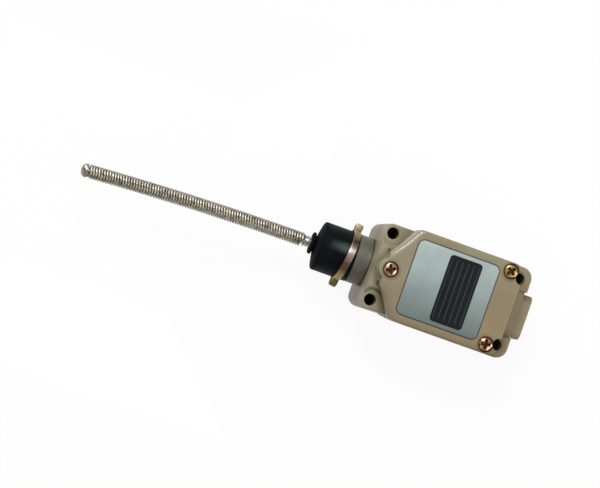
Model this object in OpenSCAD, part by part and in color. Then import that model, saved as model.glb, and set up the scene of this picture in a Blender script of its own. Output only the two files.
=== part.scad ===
// Limit switch with a coil-spring wobble lever, lying on its back.
// +Z leaves the front cover, the lever points along -X and the conduit entry along +X.
// The origin is the centre of the four mounting holes, on the back face.

/* [Mounting] */
// Spacing of the mounting holes along the case
hole_pitch_x = 58.7; // [57:0.1:60]
// Spacing of the mounting holes across the case
hole_pitch_y = 30.2; // [29.4:0.1:31]
// Diameter of the mounting holes
hole_d = 5.2; // [4.6:0.1:5.4]

/* [Case] */
// Width of the case and its cover
case_w = 41.2; // [40.4:0.1:44]
// Width of the case beside the head-end holes
shoulder_w = 38.2; // [36.8:0.1:39.4]
// Distance from the head-end holes to the face that carries the head
head_margin = 4.95; // [4.6:0.05:8]
// Distance from the conduit-end holes to the conduit end
conduit_margin = 5.65; // [5.2:0.05:8]
// Height of the rim under the gasket
rim_z = 33; // [32:0.5:36]
// Rise of the head end above the rim
bridge_rise = 5.5; // [4:0.5:7]
// Depth of the spot faces round the head-end holes
spot_depth = 2; // [1:0.25:3]
// Diameter of those spot faces
spot_d = 10.4; // [9.6:0.1:11]
// Thickness of the side walls
wall = 3.3; // [2.6:0.1:3.6]
// Thickness of the floor
floor_t = 4; // [3.4:0.1:5]
// Corner radius at the conduit end
case_r = 5; // [4.5:0.1:5.4]
// Corner radius at the head end
shoulder_r = 4.5; // [3:0.1:5]

/* [Conduit] */
// Bore of the conduit entry
conduit_d = 15; // [13:0.1:16]
// Width of the conduit boss
boss_w = 19.8; // [19:0.1:22]
// Height the boss stands out of the conduit end
boss_l = 4.6; // [3:0.1:6]
// Height of the conduit's axis above the back face
boss_z = 17; // [15.5:0.1:18]

/* [Cover] */
// Height of the cover above the gasket
cover_t = 8; // [7.4:0.1:10]
// Thickness of the cover's front
cover_front = 2.6; // [2.2:0.1:3]
// Thickness of the gasket
gasket_t = 1; // [0.6:0.1:1.4]
// Ledge of the case beyond the cover at the conduit end
end_ledge = 5.4; // [5:0.1:6]
// Radius of the tongue round the head-end screw
tongue_r = 5.2; // [4.6:0.1:5.4]
// Head diameter of the cover screws
cover_head_d = 6.2; // [5.4:0.1:6.3]
// Thread diameter of the cover screws
cover_thread_d = 3.5; // [3:0.1:4]
// Length of the nameplate
plate_l = 37.6; // [34:0.1:38]
// Width of the nameplate
plate_w = 34.2; // [30:0.1:34.6]
// Thickness of the nameplate
plate_t = 0.5; // [0.3:0.05:0.8]

/* [Head] */
// Height of the lever's axis above the back face
axis_z = 19.5; // [19:0.1:21]
// Diameter of the collar
collar_d = 21.6; // [21:0.1:23]
// Height of the collar above the case
collar_h = 6; // [5:0.1:7]
// Diameter of the collar's tail in the case
tail_d = 18; // [16:0.1:18.4]
// Length of that tail
tail_l = 6.2; // [5.6:0.1:7]
// Diameter of the neck inside the boot
neck_d = 16.8; // [16.6:0.1:17.4]
// Height from the collar to the lever's pivot
neck_h = 9.2; // [8.6:0.1:10]
// Diameter of the lever's ball
ball_d = 8; // [7.6:0.1:8.2]
// Wall of the liner round the ball
liner_t = 1.4; // [1.2:0.05:1.5]
// Thickness of the ring that holds the ball down
retainer_t = 3.4; // [3.2:0.1:3.8]
// Largest tilt of the lever about each of its two axes
tilt = 12; // [8:1:13]

/* [Boot] */
// Outer diameter of the boot
boot_d = 21.8; // [21.2:0.1:23]
// Thickness of the boot's crown
crown_t = 2.2; // [1.6:0.1:2.6]
// Diameter of the lip round the lever
lip_d = 9.8; // [8.6:0.1:11]
// Thickness of that lip
lip_t = 1.4; // [1:0.1:2]
// Width of the clamp band
band_w = 3.2; // [2.4:0.1:3.6]
// Thickness of the clamp band
band_t = 0.9; // [0.6:0.05:1.2]
// Height of the clamp's ears over the band
ear_h = 2.7; // [2:0.1:4]
// Width of the clamp's ears round the band
ear_w = 4.4; // [3.6:0.1:6]
// Slant of the clamp band on the boot
clamp_slant = 6.4; // [0:0.2:8]

/* [Lever] */
// Diameter of the lever's stem
stem_d = 4; // [3.4:0.1:4.2]
// Length of the ferrule below the coil
ferrule_l = 2.4; // [1.6:0.1:4]
// Outer diameter of the coil
coil_d = 6.3; // [5.8:0.1:7]
// Wire diameter of the coil
wire_d = 0.76; // [0.6:0.01:0.78]
// Pitch of the coil
coil_pitch = 1.2; // [1.19:0.01:1.3]
// Number of curls in the coil
coil_curls = 80; // [20:1:88]
// Sideways set of the coil at its tip
lever_bend = 3.4; // [0.2:0.2:8]
// Height of the rounded tip
tip_l = 2.4; // [2:0.1:4]

/* [Contacts] */
// Travel of the plunger
travel = 2; // [1:0.1:2.2]
// Travel of the contact bridge
bridge_travel = 0.9; // [0.5:0.05:1.2]
// Diameter of the plunger
plunger_d = 5; // [4:0.1:5.2]
// Length of the contact block
block_l = 34; // [33:0.1:36]
// Width of the contact block
block_w = 29; // [28:0.1:30]
// Thickness of the contact block's lid
lid_t = 4; // [3:0.1:4.4]
// Thickness of the terminal plates
terminal_t = 1; // [0.8:0.05:1.2]
// Head diameter of the terminal screws
terminal_head_d = 6; // [5:0.1:6.4]

/* [Hidden] */
$fn = 64;

// Clearances: a running fit, a seated fit and a free gap
fit = 0.06;
seat = 0.05;
gap = 0.3;
// Overshoot of a cut past the face it opens
over = 1;

// Places along and across the case
hx = hole_pitch_x / 2;
hy = hole_pitch_y / 2;
half_w = case_w / 2;
head_x = -hx - head_margin;
conduit_x = hx + conduit_margin;
bridge_z = rim_z + bridge_rise;
cover_z = rim_z + gasket_t;
cover_top = cover_z + cover_t;
cover_end = conduit_x - end_ledge;
cover_r = case_r;
rim_land = 2.2;

// Cover screws: one in the tongue and two beside the conduit-end holes
tongue_wall = 0.45;
corner_inset = 5.65;
corner_edge = 3.95;
tongue_screw = [head_x + tail_l + cover_thread_d / 2 + tongue_wall, 0];
corner_screw = [hx - corner_inset, half_w - corner_edge];
cover_screw_places = [tongue_screw, corner_screw, [corner_screw.x, -corner_screw.y]];
cover_head_t = 2.2;
head_sink = 2.6;
cover_screw_l = 13;
boss_wall = 1.9;
post_d = cover_thread_d + 2 * boss_wall;
column_wall = 2.2;
screw_bite = cover_screw_l - (cover_t - head_sink) - gasket_t;

// Half outline of the cover at the head end, from its side to the tongue
shoulder_x = -hx + 9.05;
waist = [-hx + 4.35, hy - 2.7];
notch = [-hx + 0.95, hy - 7.7];
notch_r = 1.5;
notch_depth = 3;

// Nameplate recess in the cover
plate_x = 0.3;
plate_r = 3;
plate_fit = 0.15;

// Ball joint and its seat
ball_r = ball_d / 2;
liner_in = ball_r + fit;
liner_out = liner_in + liner_t;
seat_r = liner_out + fit;
liner_half = 2.4;
pivot_s = collar_h + neck_h;
sweep = acos(cos(tilt) * cos(tilt));
chamber_r = 4.75;
chamber_floor = -2.2;
foot_d = 4.8;
foot_t = 1;
foot_depth = ball_r + 2.2;
stem_low_d = 3.2;

// Pins of the two tilt axes: the liner's in the head, and the ball's in the liner
liner_pin_d = 1.4;
liner_pin_r = liner_out + 1.4;
ball_pin_d = 1.2;
ball_pin_r = liner_out - 0.3;

// Retainer screws
retainer_screws_n = 3;
retainer_pcd = (neck_d + 2 * seat_r) / 2;
retainer_thread_d = 1.5;
retainer_head_d = 2.5;
retainer_head_t = 0.9;
retainer_screw_l = 6;
retainer_bite = retainer_screw_l - retainer_t;
retainer_turn = 90;

// Seal in the collar's face
seal_d = 0.9;
seal_pcd = (collar_d + tail_d) / 2;
seal_room = 0.2;

// Boot profile, as heights above the case
skirt_s = collar_h + 0.1;
skirt_h = 4.8;
crown_s = pivot_s + retainer_t + retainer_head_t + 0.7;
boot_rim_s = crown_s + 1.8;
boot_top_s = crown_s + crown_t + 1.2;
boot_gap = 0.4;
boot_in = neck_d / 2 + boot_gap;
lip_neck_d = 7.2;
lip_neck_h = 0.8;
lip_s = boot_top_s + lip_neck_h;
crown_r = lip_neck_d / 2 + 2;

// Clamp band: its slant is about an axis turned from Y, and its bore clears the boot
band_s = skirt_s + 1.5;
clamp_turn = 26;
clamp_in = (boot_d / 2 + band_w / 2 * sin(clamp_slant)) / cos(clamp_slant) + seat;
clamp_out = clamp_in + band_t;

// Lever, as heights above the case
ferrule_s = lip_s + lip_t + 0.9;
coil_s = ferrule_s + ferrule_l;
coil_r = (coil_d - wire_d) / 2;
bend_r = 0.8;
coil_l = coil_curls * coil_pitch + 2 * (wire_d + bend_r);
bend_radius = pow(coil_l, 2) / (2 * lever_bend);
bend_angle = coil_l / bend_radius * 180 / PI;
core_d = coil_d - 4 * wire_d;
core_l = 8;
shank_l = 6;
cone_l = ferrule_l - 0.8;

// Plunger, as heights above the case, and the contact block behind it
plunger_top = pivot_s - foot_depth * cos(sweep) - foot_d / 2 * sin(sweep) - 0.15;
plunger_head_t = 1.5;
plunger_head_d = 2 * (chamber_r - gap);
plunger_reach = 15.1;
plunger_end_x = head_x + plunger_reach;
tunnel_d = 13;
spring_wire = 0.7;
spring_curls = 4;

// Contact block: its front wall stands clear of the plunger at full travel
block_x = plunger_end_x + travel + 0.6;
block_top = axis_z + 6.5;
lid_top = block_top + lid_t;
block_wall = 3.5;
cavity_w = 22;
cavity_z = axis_z - 4.5;
pusher_d = 4;
pusher_gap = 0.05;
pusher_collar_d = 6.8;
pusher_collar_t = 1;
pusher_collar_x = block_x + block_wall + travel + 1.8;
cavity_x1 = block_x + block_l - block_wall;
pusher_x = plunger_end_x + pusher_gap;
pusher_in = 1;
pusher_end = cavity_x1 + pusher_in;
bridge_in = 17.5;
bridge_x = block_x + bridge_in;
bridge_t = 1;
bridge_l = 18;
bridge_h = 5;
rivet_d = 2.4;
rivet_h = 0.4;
rivet_y = 7.3;
contact_gap = 0.05;

// Terminals: a leg beside each moving rivet and a plate on the lid
leg_w = 4;
leg_z = axis_z - 2.5;
fixed_rivet_h = 0.95;
nc_face_x = bridge_x - bridge_t / 2 - rivet_h - contact_gap;
no_face_x = bridge_x + bridge_t / 2 + rivet_h + bridge_travel + contact_gap;
tab_l = 8.4;
tab_y = 4;
tab_w = 9.4;
tab_screw_in = 4;
terminal_y = 8.9;
nc_leg_x = nc_face_x - fixed_rivet_h - terminal_t;
no_leg_x = no_face_x + fixed_rivet_h;
nc_tab_x = nc_leg_x + terminal_t - tab_l;
no_tab_x = no_leg_x;
washer_t = 0.8;
terminal_head_t = 2.2;
terminal_thread_d = 3;
terminal_bite = 2.4;
barrier_t = 1.2;
barrier_h = 5;
barrier_inset = 4;

// Block screws at two corners, and the earth screw in the wiring space
block_screw_d = 2.5;
block_screw_head_d = 4.2;
block_screw_head_t = 1.6;
block_screw_in = 2.3;
block_bite = 2.2;
block_screw_y = block_w / 2 - block_screw_in - 0.2;
block_screw_places = [
    [block_x + block_screw_in, block_screw_y], [block_x + block_l - block_screw_in, -block_screw_y]
];
ground_post_d = 6.4;
ground_post_h = 6;
ground_thread_d = 3.2;
ground_head_d = 5.6;
ground_head_t = 2.4;
ground_bite = 5;
ground = [
    block_x + block_l + ground_post_d / 2 + 2 * gap,
    -(corner_screw.y - post_d / 2 - ground_head_d / 2 - 2 * gap)
];

// Paint and plating
paint = "#a59c81";
steel = "#b9b5a8";
zinc = "#b3a668";
rubber = "#1d2024";

// Shared shapes

// Puts a shape built along +Z on the lever's axis, its zero at the case's head face
module on_head() {
    translate([head_x, 0, axis_z]) rotate([0, -90, 0]) children();
}

// Puts a shape built along +Z on the plunger's axis, pointing along +X from the given place
module along_x(x, z = axis_z) {
    translate([x, 0, z]) rotate([0, 90, 0]) children();
}

module at_holes(ends = [-1, 1]) {
    for (ex = ends, ey = [-1, 1]) translate([ex * hx, ey * hy, 0]) children();
}

// A ring or sleeve standing on the origin
module sleeve(d_out, d_in, h) {
    difference() {
        cylinder(d = d_out, h = h);
        translate([0, 0, -over]) cylinder(d = d_in, h = h + 2 * over);
    }
}

// A slab from x_in to x_end with rounded corners at x_end
module round_end_slab(x_in, x_end, w, r, h) {
    side = sign(x_end - x_in);
    l = abs(x_end - x_in);
    translate([min(x_in, x_end - side * r), -w / 2, 0]) cube([l - r, w, h]);
    translate([min(x_in, x_end), r - w / 2, 0]) cube([l, w - 2 * r, h]);
    for (y = [-1, 1]) translate([x_end - side * r, y * (w / 2 - r), 0]) cylinder(r = r, h = h);
}

// A slab with four rounded corners, centred on the origin in X and Y
module rounded_slab(l, w, h, r) {
    translate([-l / 2, r - w / 2, 0]) cube([l, w - 2 * r, h]);
    translate([r - l / 2, -w / 2, 0]) cube([l - 2 * r, w, h]);
    for (x = [-1, 1], y = [-1, 1]) translate([x * (l / 2 - r), y * (w / 2 - r), 0]) cylinder(r = r, h = h);
}

// The cover's outline as a prism, grown by g on every side
module cover_prism(h, g = 0) {
    half = [
        [0, half_w + g], [shoulder_x - g, half_w + g], [waist.x - g, waist.y + g], [notch.x - g, notch.y + g]
    ];
    other = [for (i = [len(half) - 1:-1:0]) [half[i].x, -half[i].y]];
    round_end_slab(-over, cover_end + g, case_w + 2 * g, cover_r, h);
    linear_extrude(h) polygon(concat(half, other));
    translate([tongue_screw.x, tongue_screw.y, 0]) cylinder(r = tongue_r + g, h = h);
}

// The hollow under the cover, which leaves bosses for its screws
module cover_hollow(h) {
    corner_x = corner_screw.x - cover_thread_d / 2 - boss_wall;
    corner_y = corner_screw.y - cover_thread_d / 2 - boss_wall;
    x0 = shoulder_x + 2;
    x1 = cover_end - rim_land;
    translate([x0, wall - half_w, 0]) cube([corner_x - x0, case_w - 2 * wall, h]);
    translate([x0, -corner_y, 0]) cube([x1 - x0, 2 * corner_y, h]);
}

// A pan-head screw whose head's underside is at the origin, with a crossed recess
module screw(head_d, head_t, thread_d, l) {
    recess_w = head_d * 0.16;
    recess_l = head_d * 0.6;
    difference() {
        cylinder(d = head_d, h = head_t);
        for (a = [0, 90]) rotate([0, 0, a]) translate([-recess_l / 2, -recess_w / 2, head_t / 2])
            cube([recess_l, recess_w, head_t]);
    }
    translate([0, 0, -l]) cylinder(d = thread_d, h = l);
}

// Points of a coil unrolled on its cylinder: a straight run, a quarter bend, the curls,
// a quarter bend and a straight run. Each point is [arc length round, height].
function coil_flat(r, wire, pitch, curls, bend) = let(
    rise = wire + bend, turn = 2 * PI * r, last = [bend + curls * turn, rise + curls * pitch]
) concat(
    [[0, 0], [0, wire]],
    [for (a = [30, 60]) [bend * (1 - cos(a)), wire + bend * sin(a)]],
    [for (i = [0:8 * curls]) [bend + i * turn / 8, rise + i * pitch / 8]],
    [for (a = [30, 60, 90]) last + [bend * sin(a), bend * (1 - cos(a))]],
    [last + [bend, bend + wire]]
);

function roll(p, r) = let(a = p.x / r * 180 / PI) [r * cos(a), r * sin(a), p.y];

// Centre line of a coil, and one six-sided ring of its wire at point i
function coil_line(flat, r) = [for (p = flat) roll(p, r)];
function coil_ring(flat, r, wire, i) = let(
    a = flat[i].x / r * 180 / PI,
    d = flat[min(i + 1, len(flat) - 1)] - flat[max(i - 1, 0)],
    t = [-sin(a) * d.x, cos(a) * d.x, d.y] / norm(d),
    e1 = [cos(a), sin(a), 0],
    e2 = cross(t, e1),
    c = roll(flat[i], r)
) [for (k = [0:5]) c + wire / 2 * (cos(60 * k) * e1 + sin(60 * k) * e2)];

function tube_faces(n) = concat(
    [for (k = [1:4]) [0, k, k + 1]],
    [for (i = [0:n - 2], k = [0:5]) [6 * i + k, 6 * i + 6 + k, 6 * i + 6 + (k + 1) % 6]],
    [for (i = [0:n - 2], k = [0:5]) [6 * i + k, 6 * i + 6 + (k + 1) % 6, 6 * i + (k + 1) % 6]],
    [for (k = [1:4]) [6 * n - 6, 6 * n - 5 + k, 6 * n - 6 + k]]
);

// Least gap of a coil to itself, between points about one curl apart
function coil_gap(line, wire) = min([
    for (i = [0:len(line) - 6], j = [i + 5:min(i + 12, len(line) - 1)]) norm(line[i] - line[j])
]) - wire;

// Carries a point of the straight lever onto the lever's arc
function bent(p) = let(a = p.z / bend_radius * 180 / PI) [
    p.x,
    bend_radius * (cos(a) - 1) + p.y * cos(a),
    bend_radius * sin(a) + p.y * sin(a)
];

module coil(r, wire, pitch, curls, bend) {
    flat = coil_flat(r, wire, pitch, curls, bend);
    points = [for (i = [0:len(flat) - 1]) each coil_ring(flat, r, wire, i)];
    polyhedron(points, tube_faces(len(flat)));
}

// Pitch that fits a number of curls, with their end runs, into a length
function fitted_pitch(l, wire, bend, curls) = (l - 2 * (wire + bend)) / curls;

// Case and cover

module switch_case() {
    color(paint) difference() {
        union() {
            round_end_slab(shoulder_x, conduit_x, case_w, case_r, rim_z);
            round_end_slab(shoulder_x + over, head_x, shoulder_w, shoulder_r, bridge_z);
            translate([conduit_x - wall, 0, boss_z]) rotate([0, 90, 0])
                rounded_slab(boss_w, boss_w, wall + boss_l, 3);
        }
        translate([0, 0, rim_z]) cover_prism(bridge_rise + over, gap);
        for (y = [-1, 1]) translate([notch.x - gap, y * notch.y, bridge_z - notch_depth])
            cylinder(r = notch_r, h = notch_depth + over, $fn = 3);
        at_holes([-1]) translate([0, 0, bridge_z - spot_depth]) cylinder(d = spot_d, h = spot_depth + over);
        at_holes() translate([0, 0, -over]) cylinder(d = hole_d, h = bridge_z + 2 * over);
        conduit_slope();
        case_pocket();
        along_x(head_x - over) cylinder(d = tail_d + 2 * seat, h = tail_l + over);
        along_x(head_x) cylinder(d = tunnel_d, h = head_margin + hx);
        along_x(0, boss_z) cylinder(d = conduit_d, h = conduit_x + boss_l + over);
        for (p = cover_screw_places) translate([p.x, p.y, rim_z - screw_bite])
            cylinder(d = cover_thread_d + 2 * seat, h = screw_bite + over);
        for (p = block_screw_places) translate([p.x, p.y, floor_t - block_bite])
            cylinder(d = block_screw_d + 2 * seat, h = block_bite + over);
        translate([ground.x, ground.y, floor_t + ground_post_h - ground_bite])
            cylinder(d = ground_thread_d + 2 * seat, h = ground_bite + over);
    }
}

// Hollow of the case, round the hole columns, the screw posts and the earth post
module case_pocket() {
    x0 = block_x - 1;
    x1 = cover_end - rim_land;
    difference() {
        translate([x0, wall - half_w, floor_t]) cube([x1 - x0, case_w - 2 * wall, rim_z]);
        at_holes([1]) cylinder(d = hole_d + 2 * column_wall, h = rim_z + over);
        for (y = [-1, 1]) translate([corner_screw.x, y * corner_screw.y, 0])
            cylinder(d = post_d, h = rim_z + over);
        translate([ground.x, ground.y, 0]) cylinder(d = ground_post_d, h = floor_t + ground_post_h);
    }
}

// Sloping face between the two conduit-end corners, from the cover's end to the boss
module conduit_slope() {
    w = boss_w + 1.4;
    z = boss_z + boss_w / 2;
    translate([0, w / 2, 0]) rotate([90, 0, 0]) linear_extrude(w) polygon([
        [cover_end + gap, rim_z], [conduit_x, z + 1], [conduit_x + over, z + 1],
        [conduit_x + over, rim_z + over], [cover_end + gap, rim_z + over]
    ]);
}

module cover() {
    color(paint) difference() {
        translate([0, 0, cover_z]) cover_prism(cover_t);
        translate([0, 0, cover_z - over]) cover_hollow(cover_t - cover_front + over);
        translate([plate_x, 0, cover_top - plate_t]) rounded_slab(plate_l, plate_w, plate_t + over, plate_r);
        at_holes([1]) translate([0, 0, cover_z - over])
            cylinder(d = hole_d + 2 * gap, h = cover_t + 2 * over);
        for (p = cover_screw_places) translate([p.x, p.y, cover_z - over]) {
            cylinder(d = cover_thread_d + gap, h = cover_t + 2 * over);
            translate([0, 0, cover_t - head_sink + over])
                cylinder(d = cover_head_d + 2 * gap, h = head_sink + over);
        }
    }
}

module cover_gasket() {
    color("#2b2b2b") translate([0, 0, rim_z]) difference() {
        cover_prism(gasket_t, -0.4);
        translate([0, 0, -over]) cover_hollow(gasket_t + 2 * over);
        at_holes([1]) translate([0, 0, -over]) cylinder(d = hole_d + 2 * gap, h = gasket_t + 2 * over);
        for (p = cover_screw_places) translate([p.x, p.y, -over])
            cylinder(d = cover_thread_d + gap, h = gasket_t + 2 * over);
    }
}

module cover_screws() {
    color("#b98a55") for (p = cover_screw_places) translate([p.x, p.y, cover_top - head_sink])
        screw(cover_head_d, cover_head_t, cover_thread_d, cover_screw_l);
}

module nameplate() {
    color("#aebfbf") translate([plate_x, 0, cover_top - plate_t])
        rounded_slab(plate_l - 2 * plate_fit, plate_w - 2 * plate_fit, plate_t, plate_r - plate_fit);
}

// Head

module head_collar() {
    color("#5f5c58") on_head() difference() {
        union() {
            translate([0, 0, -tail_l]) cylinder(d = tail_d, h = tail_l + over);
            cylinder(d = collar_d, h = collar_h);
            cylinder(d = neck_d, h = pivot_s);
        }
        translate([0, 0, pivot_s]) sphere(r = seat_r);
        translate([0, 0, chamber_floor]) cylinder(r = chamber_r, h = pivot_s - chamber_floor - 2);
        translate([0, 0, -tail_l - over]) cylinder(d = plunger_d + 2 * fit, h = tail_l + 2 * over);
        translate([0, 0, -over])
            sleeve(seal_pcd + seal_d + seal_room, seal_pcd - seal_d - seal_room, seal_d + over);
        retainer_places() translate([0, 0, pivot_s - retainer_bite])
            cylinder(d = retainer_thread_d + 2 * seat, h = retainer_bite + over);
        pin_across(liner_pin_d + 2 * fit, liner_pin_r + fit);
    }
}

module head_seal() {
    color(rubber) on_head() translate([0, 0, seal_d / 2])
        rotate_extrude() translate([seal_pcd / 2, 0]) circle(d = seal_d);
}

// A pin through the pivot, square to the lever: along Z, or along Y if turned a quarter
module pin_across(d, r, turn = 0) {
    translate([0, 0, pivot_s]) rotate([0, 0, turn]) rotate([0, 90, 0])
        translate([0, 0, -r]) cylinder(d = d, h = 2 * r);
}

module retainer_places() {
    for (i = [0:retainer_screws_n - 1]) rotate([0, 0, retainer_turn + 360 / retainer_screws_n * i])
        translate([retainer_pcd / 2, 0, 0]) children();
}

module retainer_ring() {
    color(steel) on_head() difference() {
        translate([0, 0, pivot_s]) cylinder(d = neck_d, h = retainer_t);
        translate([0, 0, pivot_s]) sphere(r = seat_r);
        retainer_places() translate([0, 0, pivot_s - over])
            cylinder(d = retainer_thread_d + 2 * seat, h = retainer_t + 2 * over);
        pin_across(liner_pin_d + 2 * fit, liner_pin_r + fit);
    }
}

module retainer_screws() {
    color(steel) on_head() retainer_places() translate([0, 0, pivot_s + retainer_t])
        screw(retainer_head_d, retainer_head_t, retainer_thread_d, retainer_screw_l);
}

module rubber_boot() {
    r = boot_d / 2;
    grip = neck_d / 2 + seat;
    hole = stem_d / 2 + 2 * seat;
    color(rubber) on_head() rotate_extrude() polygon([
        [grip, skirt_s], [r, skirt_s], [r, boot_rim_s],
        [r - 0.5, boot_rim_s + 0.7], [r - 1.6, boot_rim_s + 1.1],
        [crown_r, boot_top_s], [lip_neck_d / 2, boot_top_s], [lip_neck_d / 2, lip_s], [lip_d / 2, lip_s],
        [lip_d / 2, lip_s + lip_t], [hole, lip_s + lip_t], [hole, crown_s + crown_t / 2], [crown_r, crown_s],
        [boot_in, crown_s], [boot_in, skirt_s + skirt_h], [grip, skirt_s + skirt_h]
    ]);
}

// Band clamp with two crimped ears, a little askew on the boot's skirt
module boot_clamp() {
    r = clamp_out + ear_h;
    color(zinc) on_head() translate([0, 0, band_s + band_w / 2])
        rotate(a = clamp_slant, v = [-cos(clamp_turn), sin(clamp_turn), 0]) translate([0, 0, -band_w / 2])
            difference() {
                union() {
                    cylinder(r = clamp_out, h = band_w);
                    translate([-ear_w / 2, -r, 0]) cube([ear_w, 2 * r, band_w]);
                }
                translate([0, 0, -over]) cylinder(r = clamp_in, h = band_w + 2 * over);
                translate([band_t - ear_w / 2, band_t - r, -over])
                    cube([ear_w - 2 * band_t, 2 * (r - band_t), band_w + 2 * over]);
            }
}

// Lever

module ball_liner() {
    color("#e4e0d2") on_head() difference() {
        union() {
            translate([0, 0, pivot_s]) intersection() {
                sphere(r = liner_out);
                translate([0, 0, -liner_half]) cylinder(r = liner_out + over, h = 2 * liner_half);
            }
            pin_across(liner_pin_d, liner_pin_r);
        }
        translate([0, 0, pivot_s]) sphere(r = liner_in);
        pin_across(ball_pin_d + 2 * fit, liner_out + over, 90);
    }
}

module lever_stem() {
    color(steel) on_head() {
        translate([0, 0, pivot_s]) {
            sphere(r = ball_r);
            translate([0, 0, -foot_depth]) cylinder(d = foot_d, h = foot_t);
            translate([0, 0, -foot_depth]) cylinder(d = stem_low_d, h = foot_depth);
        }
        pin_across(ball_pin_d, ball_pin_r, 90);
        translate([0, 0, pivot_s]) cylinder(d = stem_d, h = coil_s - pivot_s);
        translate([0, 0, coil_s - over]) cylinder(d = core_d, h = core_l + over);
    }
}

module lever_ferrule() {
    color(steel) on_head() translate([0, 0, ferrule_s]) difference() {
        union() {
            cylinder(d1 = stem_d + 1, d2 = coil_d, h = cone_l);
            translate([0, 0, cone_l]) cylinder(d = coil_d, h = ferrule_l - cone_l);
        }
        translate([0, 0, -over]) cylinder(d = stem_d + 2 * seat, h = ferrule_l + 2 * over);
    }
}

lever_flat = coil_flat(coil_r, wire_d, coil_pitch, coil_curls, bend_r);
lever_line = [for (p = coil_line(lever_flat, coil_r)) bent(p)];
echo(least_gap_of_the_lever_coil = coil_gap(lever_line, wire_d));

module lever_spring() {
    points = [for (i = [0:len(lever_flat) - 1]) each coil_ring(lever_flat, coil_r, wire_d, i)];
    color(steel) on_head() translate([0, 0, coil_s])
        polyhedron([for (p = points) bent(p)], tube_faces(len(lever_flat)));
}

// Rounded plug whose shank sits in the last curls
module lever_tip() {
    end = bent([0, 0, coil_l]);
    r = coil_d / 2;
    color(steel) on_head() translate([0, 0, coil_s]) translate(end) rotate([bend_angle, 0, 0]) {
        cylinder(r = r, h = tip_l - r * 0.6);
        intersection() {
            translate([0, 0, tip_l - 1.2 * r]) sphere(r = r * 1.2);
            cylinder(r = r, h = tip_l + over);
        }
        translate([0, 0, -shank_l]) cylinder(d = core_d, h = shank_l + over / 2);
    }
}

// Plunger

module plunger() {
    l = plunger_end_x - head_x + plunger_top;
    color(steel) on_head() {
        translate([0, 0, plunger_top - plunger_head_t]) cylinder(d = plunger_head_d, h = plunger_head_t);
        translate([0, 0, plunger_top - l]) cylinder(d = plunger_d, h = l);
    }
}

module plunger_spring() {
    l = plunger_top - plunger_head_t - chamber_floor;
    r = (plunger_d / 2 + chamber_r) / 2;
    color(steel) on_head() translate([0, 0, chamber_floor])
        coil(r, spring_wire, fitted_pitch(l, spring_wire, bend_r, spring_curls), spring_curls, bend_r);
}

// Contact block

module contact_base() {
    color("#3a2a22") difference() {
        translate([block_x, -block_w / 2, floor_t]) cube([block_l, block_w, block_top - floor_t]);
        translate([block_x + block_wall, -cavity_w / 2, cavity_z])
            cube([block_l - 2 * block_wall, cavity_w, block_top - cavity_z + over]);
        along_x(block_x - over) cylinder(d = pusher_d + 2 * fit, h = block_wall + 2 * over);
        along_x(cavity_x1 - over) cylinder(d = pusher_d + 2 * fit, h = over + pusher_in + travel + gap);
        for (p = block_screw_places) translate([p.x, p.y, floor_t - over])
            cylinder(d = block_screw_d + 2 * seat, h = block_top);
    }
}

module contact_lid() {
    color("#3a2a22") difference() {
        translate([block_x, -block_w / 2, block_top]) cube([block_l, block_w, lid_t]);
        for (y = [-1, 1]) {
            leg_slot(nc_leg_x, y);
            leg_slot(no_leg_x, y);
        }
        terminal_places() translate([0, 0, lid_top - terminal_bite])
            cylinder(d = terminal_thread_d + 2 * seat, h = terminal_bite + over);
        for (p = block_screw_places) translate([p.x, p.y, block_top - over])
            cylinder(d = block_screw_d + 2 * seat, h = lid_t + 2 * over);
    }
}

module leg_slot(x, y) {
    translate([x - seat, y * rivet_y - leg_w / 2 - seat, block_top - over])
        cube([terminal_t + 2 * seat, leg_w + 2 * seat, lid_t + 2 * over]);
}

module terminal_places() {
    for (y = [-1, 1]) {
        translate([nc_tab_x + tab_screw_in, y * terminal_y, 0]) children();
        translate([no_tab_x + tab_l - tab_screw_in, y * terminal_y, 0]) children();
    }
}

// A tab on the lid, a leg through it and a fixed rivet that faces the bridge
module terminal(tab_x, leg_x, rivet_x, y) {
    difference() {
        translate([tab_x, y > 0 ? tab_y : -tab_y - tab_w, lid_top]) cube([tab_l, tab_w, terminal_t]);
        terminal_places() translate([0, 0, lid_top - over])
            cylinder(d = terminal_thread_d + 2 * seat, h = terminal_t + 2 * over);
    }
    translate([leg_x, y * rivet_y - leg_w / 2, leg_z])
        cube([terminal_t, leg_w, lid_top + terminal_t - leg_z]);
    translate([0, y * rivet_y, 0]) along_x(rivet_x) cylinder(d = rivet_d, h = fixed_rivet_h);
}

module nc_terminals() {
    color("#b08d4a") for (y = [-1, 1]) terminal(nc_tab_x, nc_leg_x, nc_face_x - fixed_rivet_h, y);
}

module no_terminals() {
    color("#b08d4a") for (y = [-1, 1]) terminal(no_tab_x, no_leg_x, no_face_x, y);
}

module terminal_screws() {
    color(steel) terminal_places() translate([0, 0, lid_top + terminal_t + washer_t])
        screw(terminal_head_d, terminal_head_t, terminal_thread_d, terminal_bite + terminal_t + washer_t);
}

module terminal_washers() {
    color(steel) terminal_places() translate([0, 0, lid_top + terminal_t])
        sleeve(terminal_head_d + 1, terminal_thread_d + 2 * seat, washer_t);
}

module terminal_barrier() {
    color("#7a5a3a") translate([block_x + barrier_inset, -barrier_t / 2, lid_top])
        cube([block_l - 2 * barrier_inset, barrier_t, barrier_h]);
}

module contact_pusher() {
    color("#d8d4c6") {
        along_x(pusher_x) cylinder(d = pusher_d, h = pusher_end - pusher_x);
        along_x(pusher_collar_x) cylinder(d = pusher_collar_d, h = pusher_collar_t);
    }
}

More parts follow.
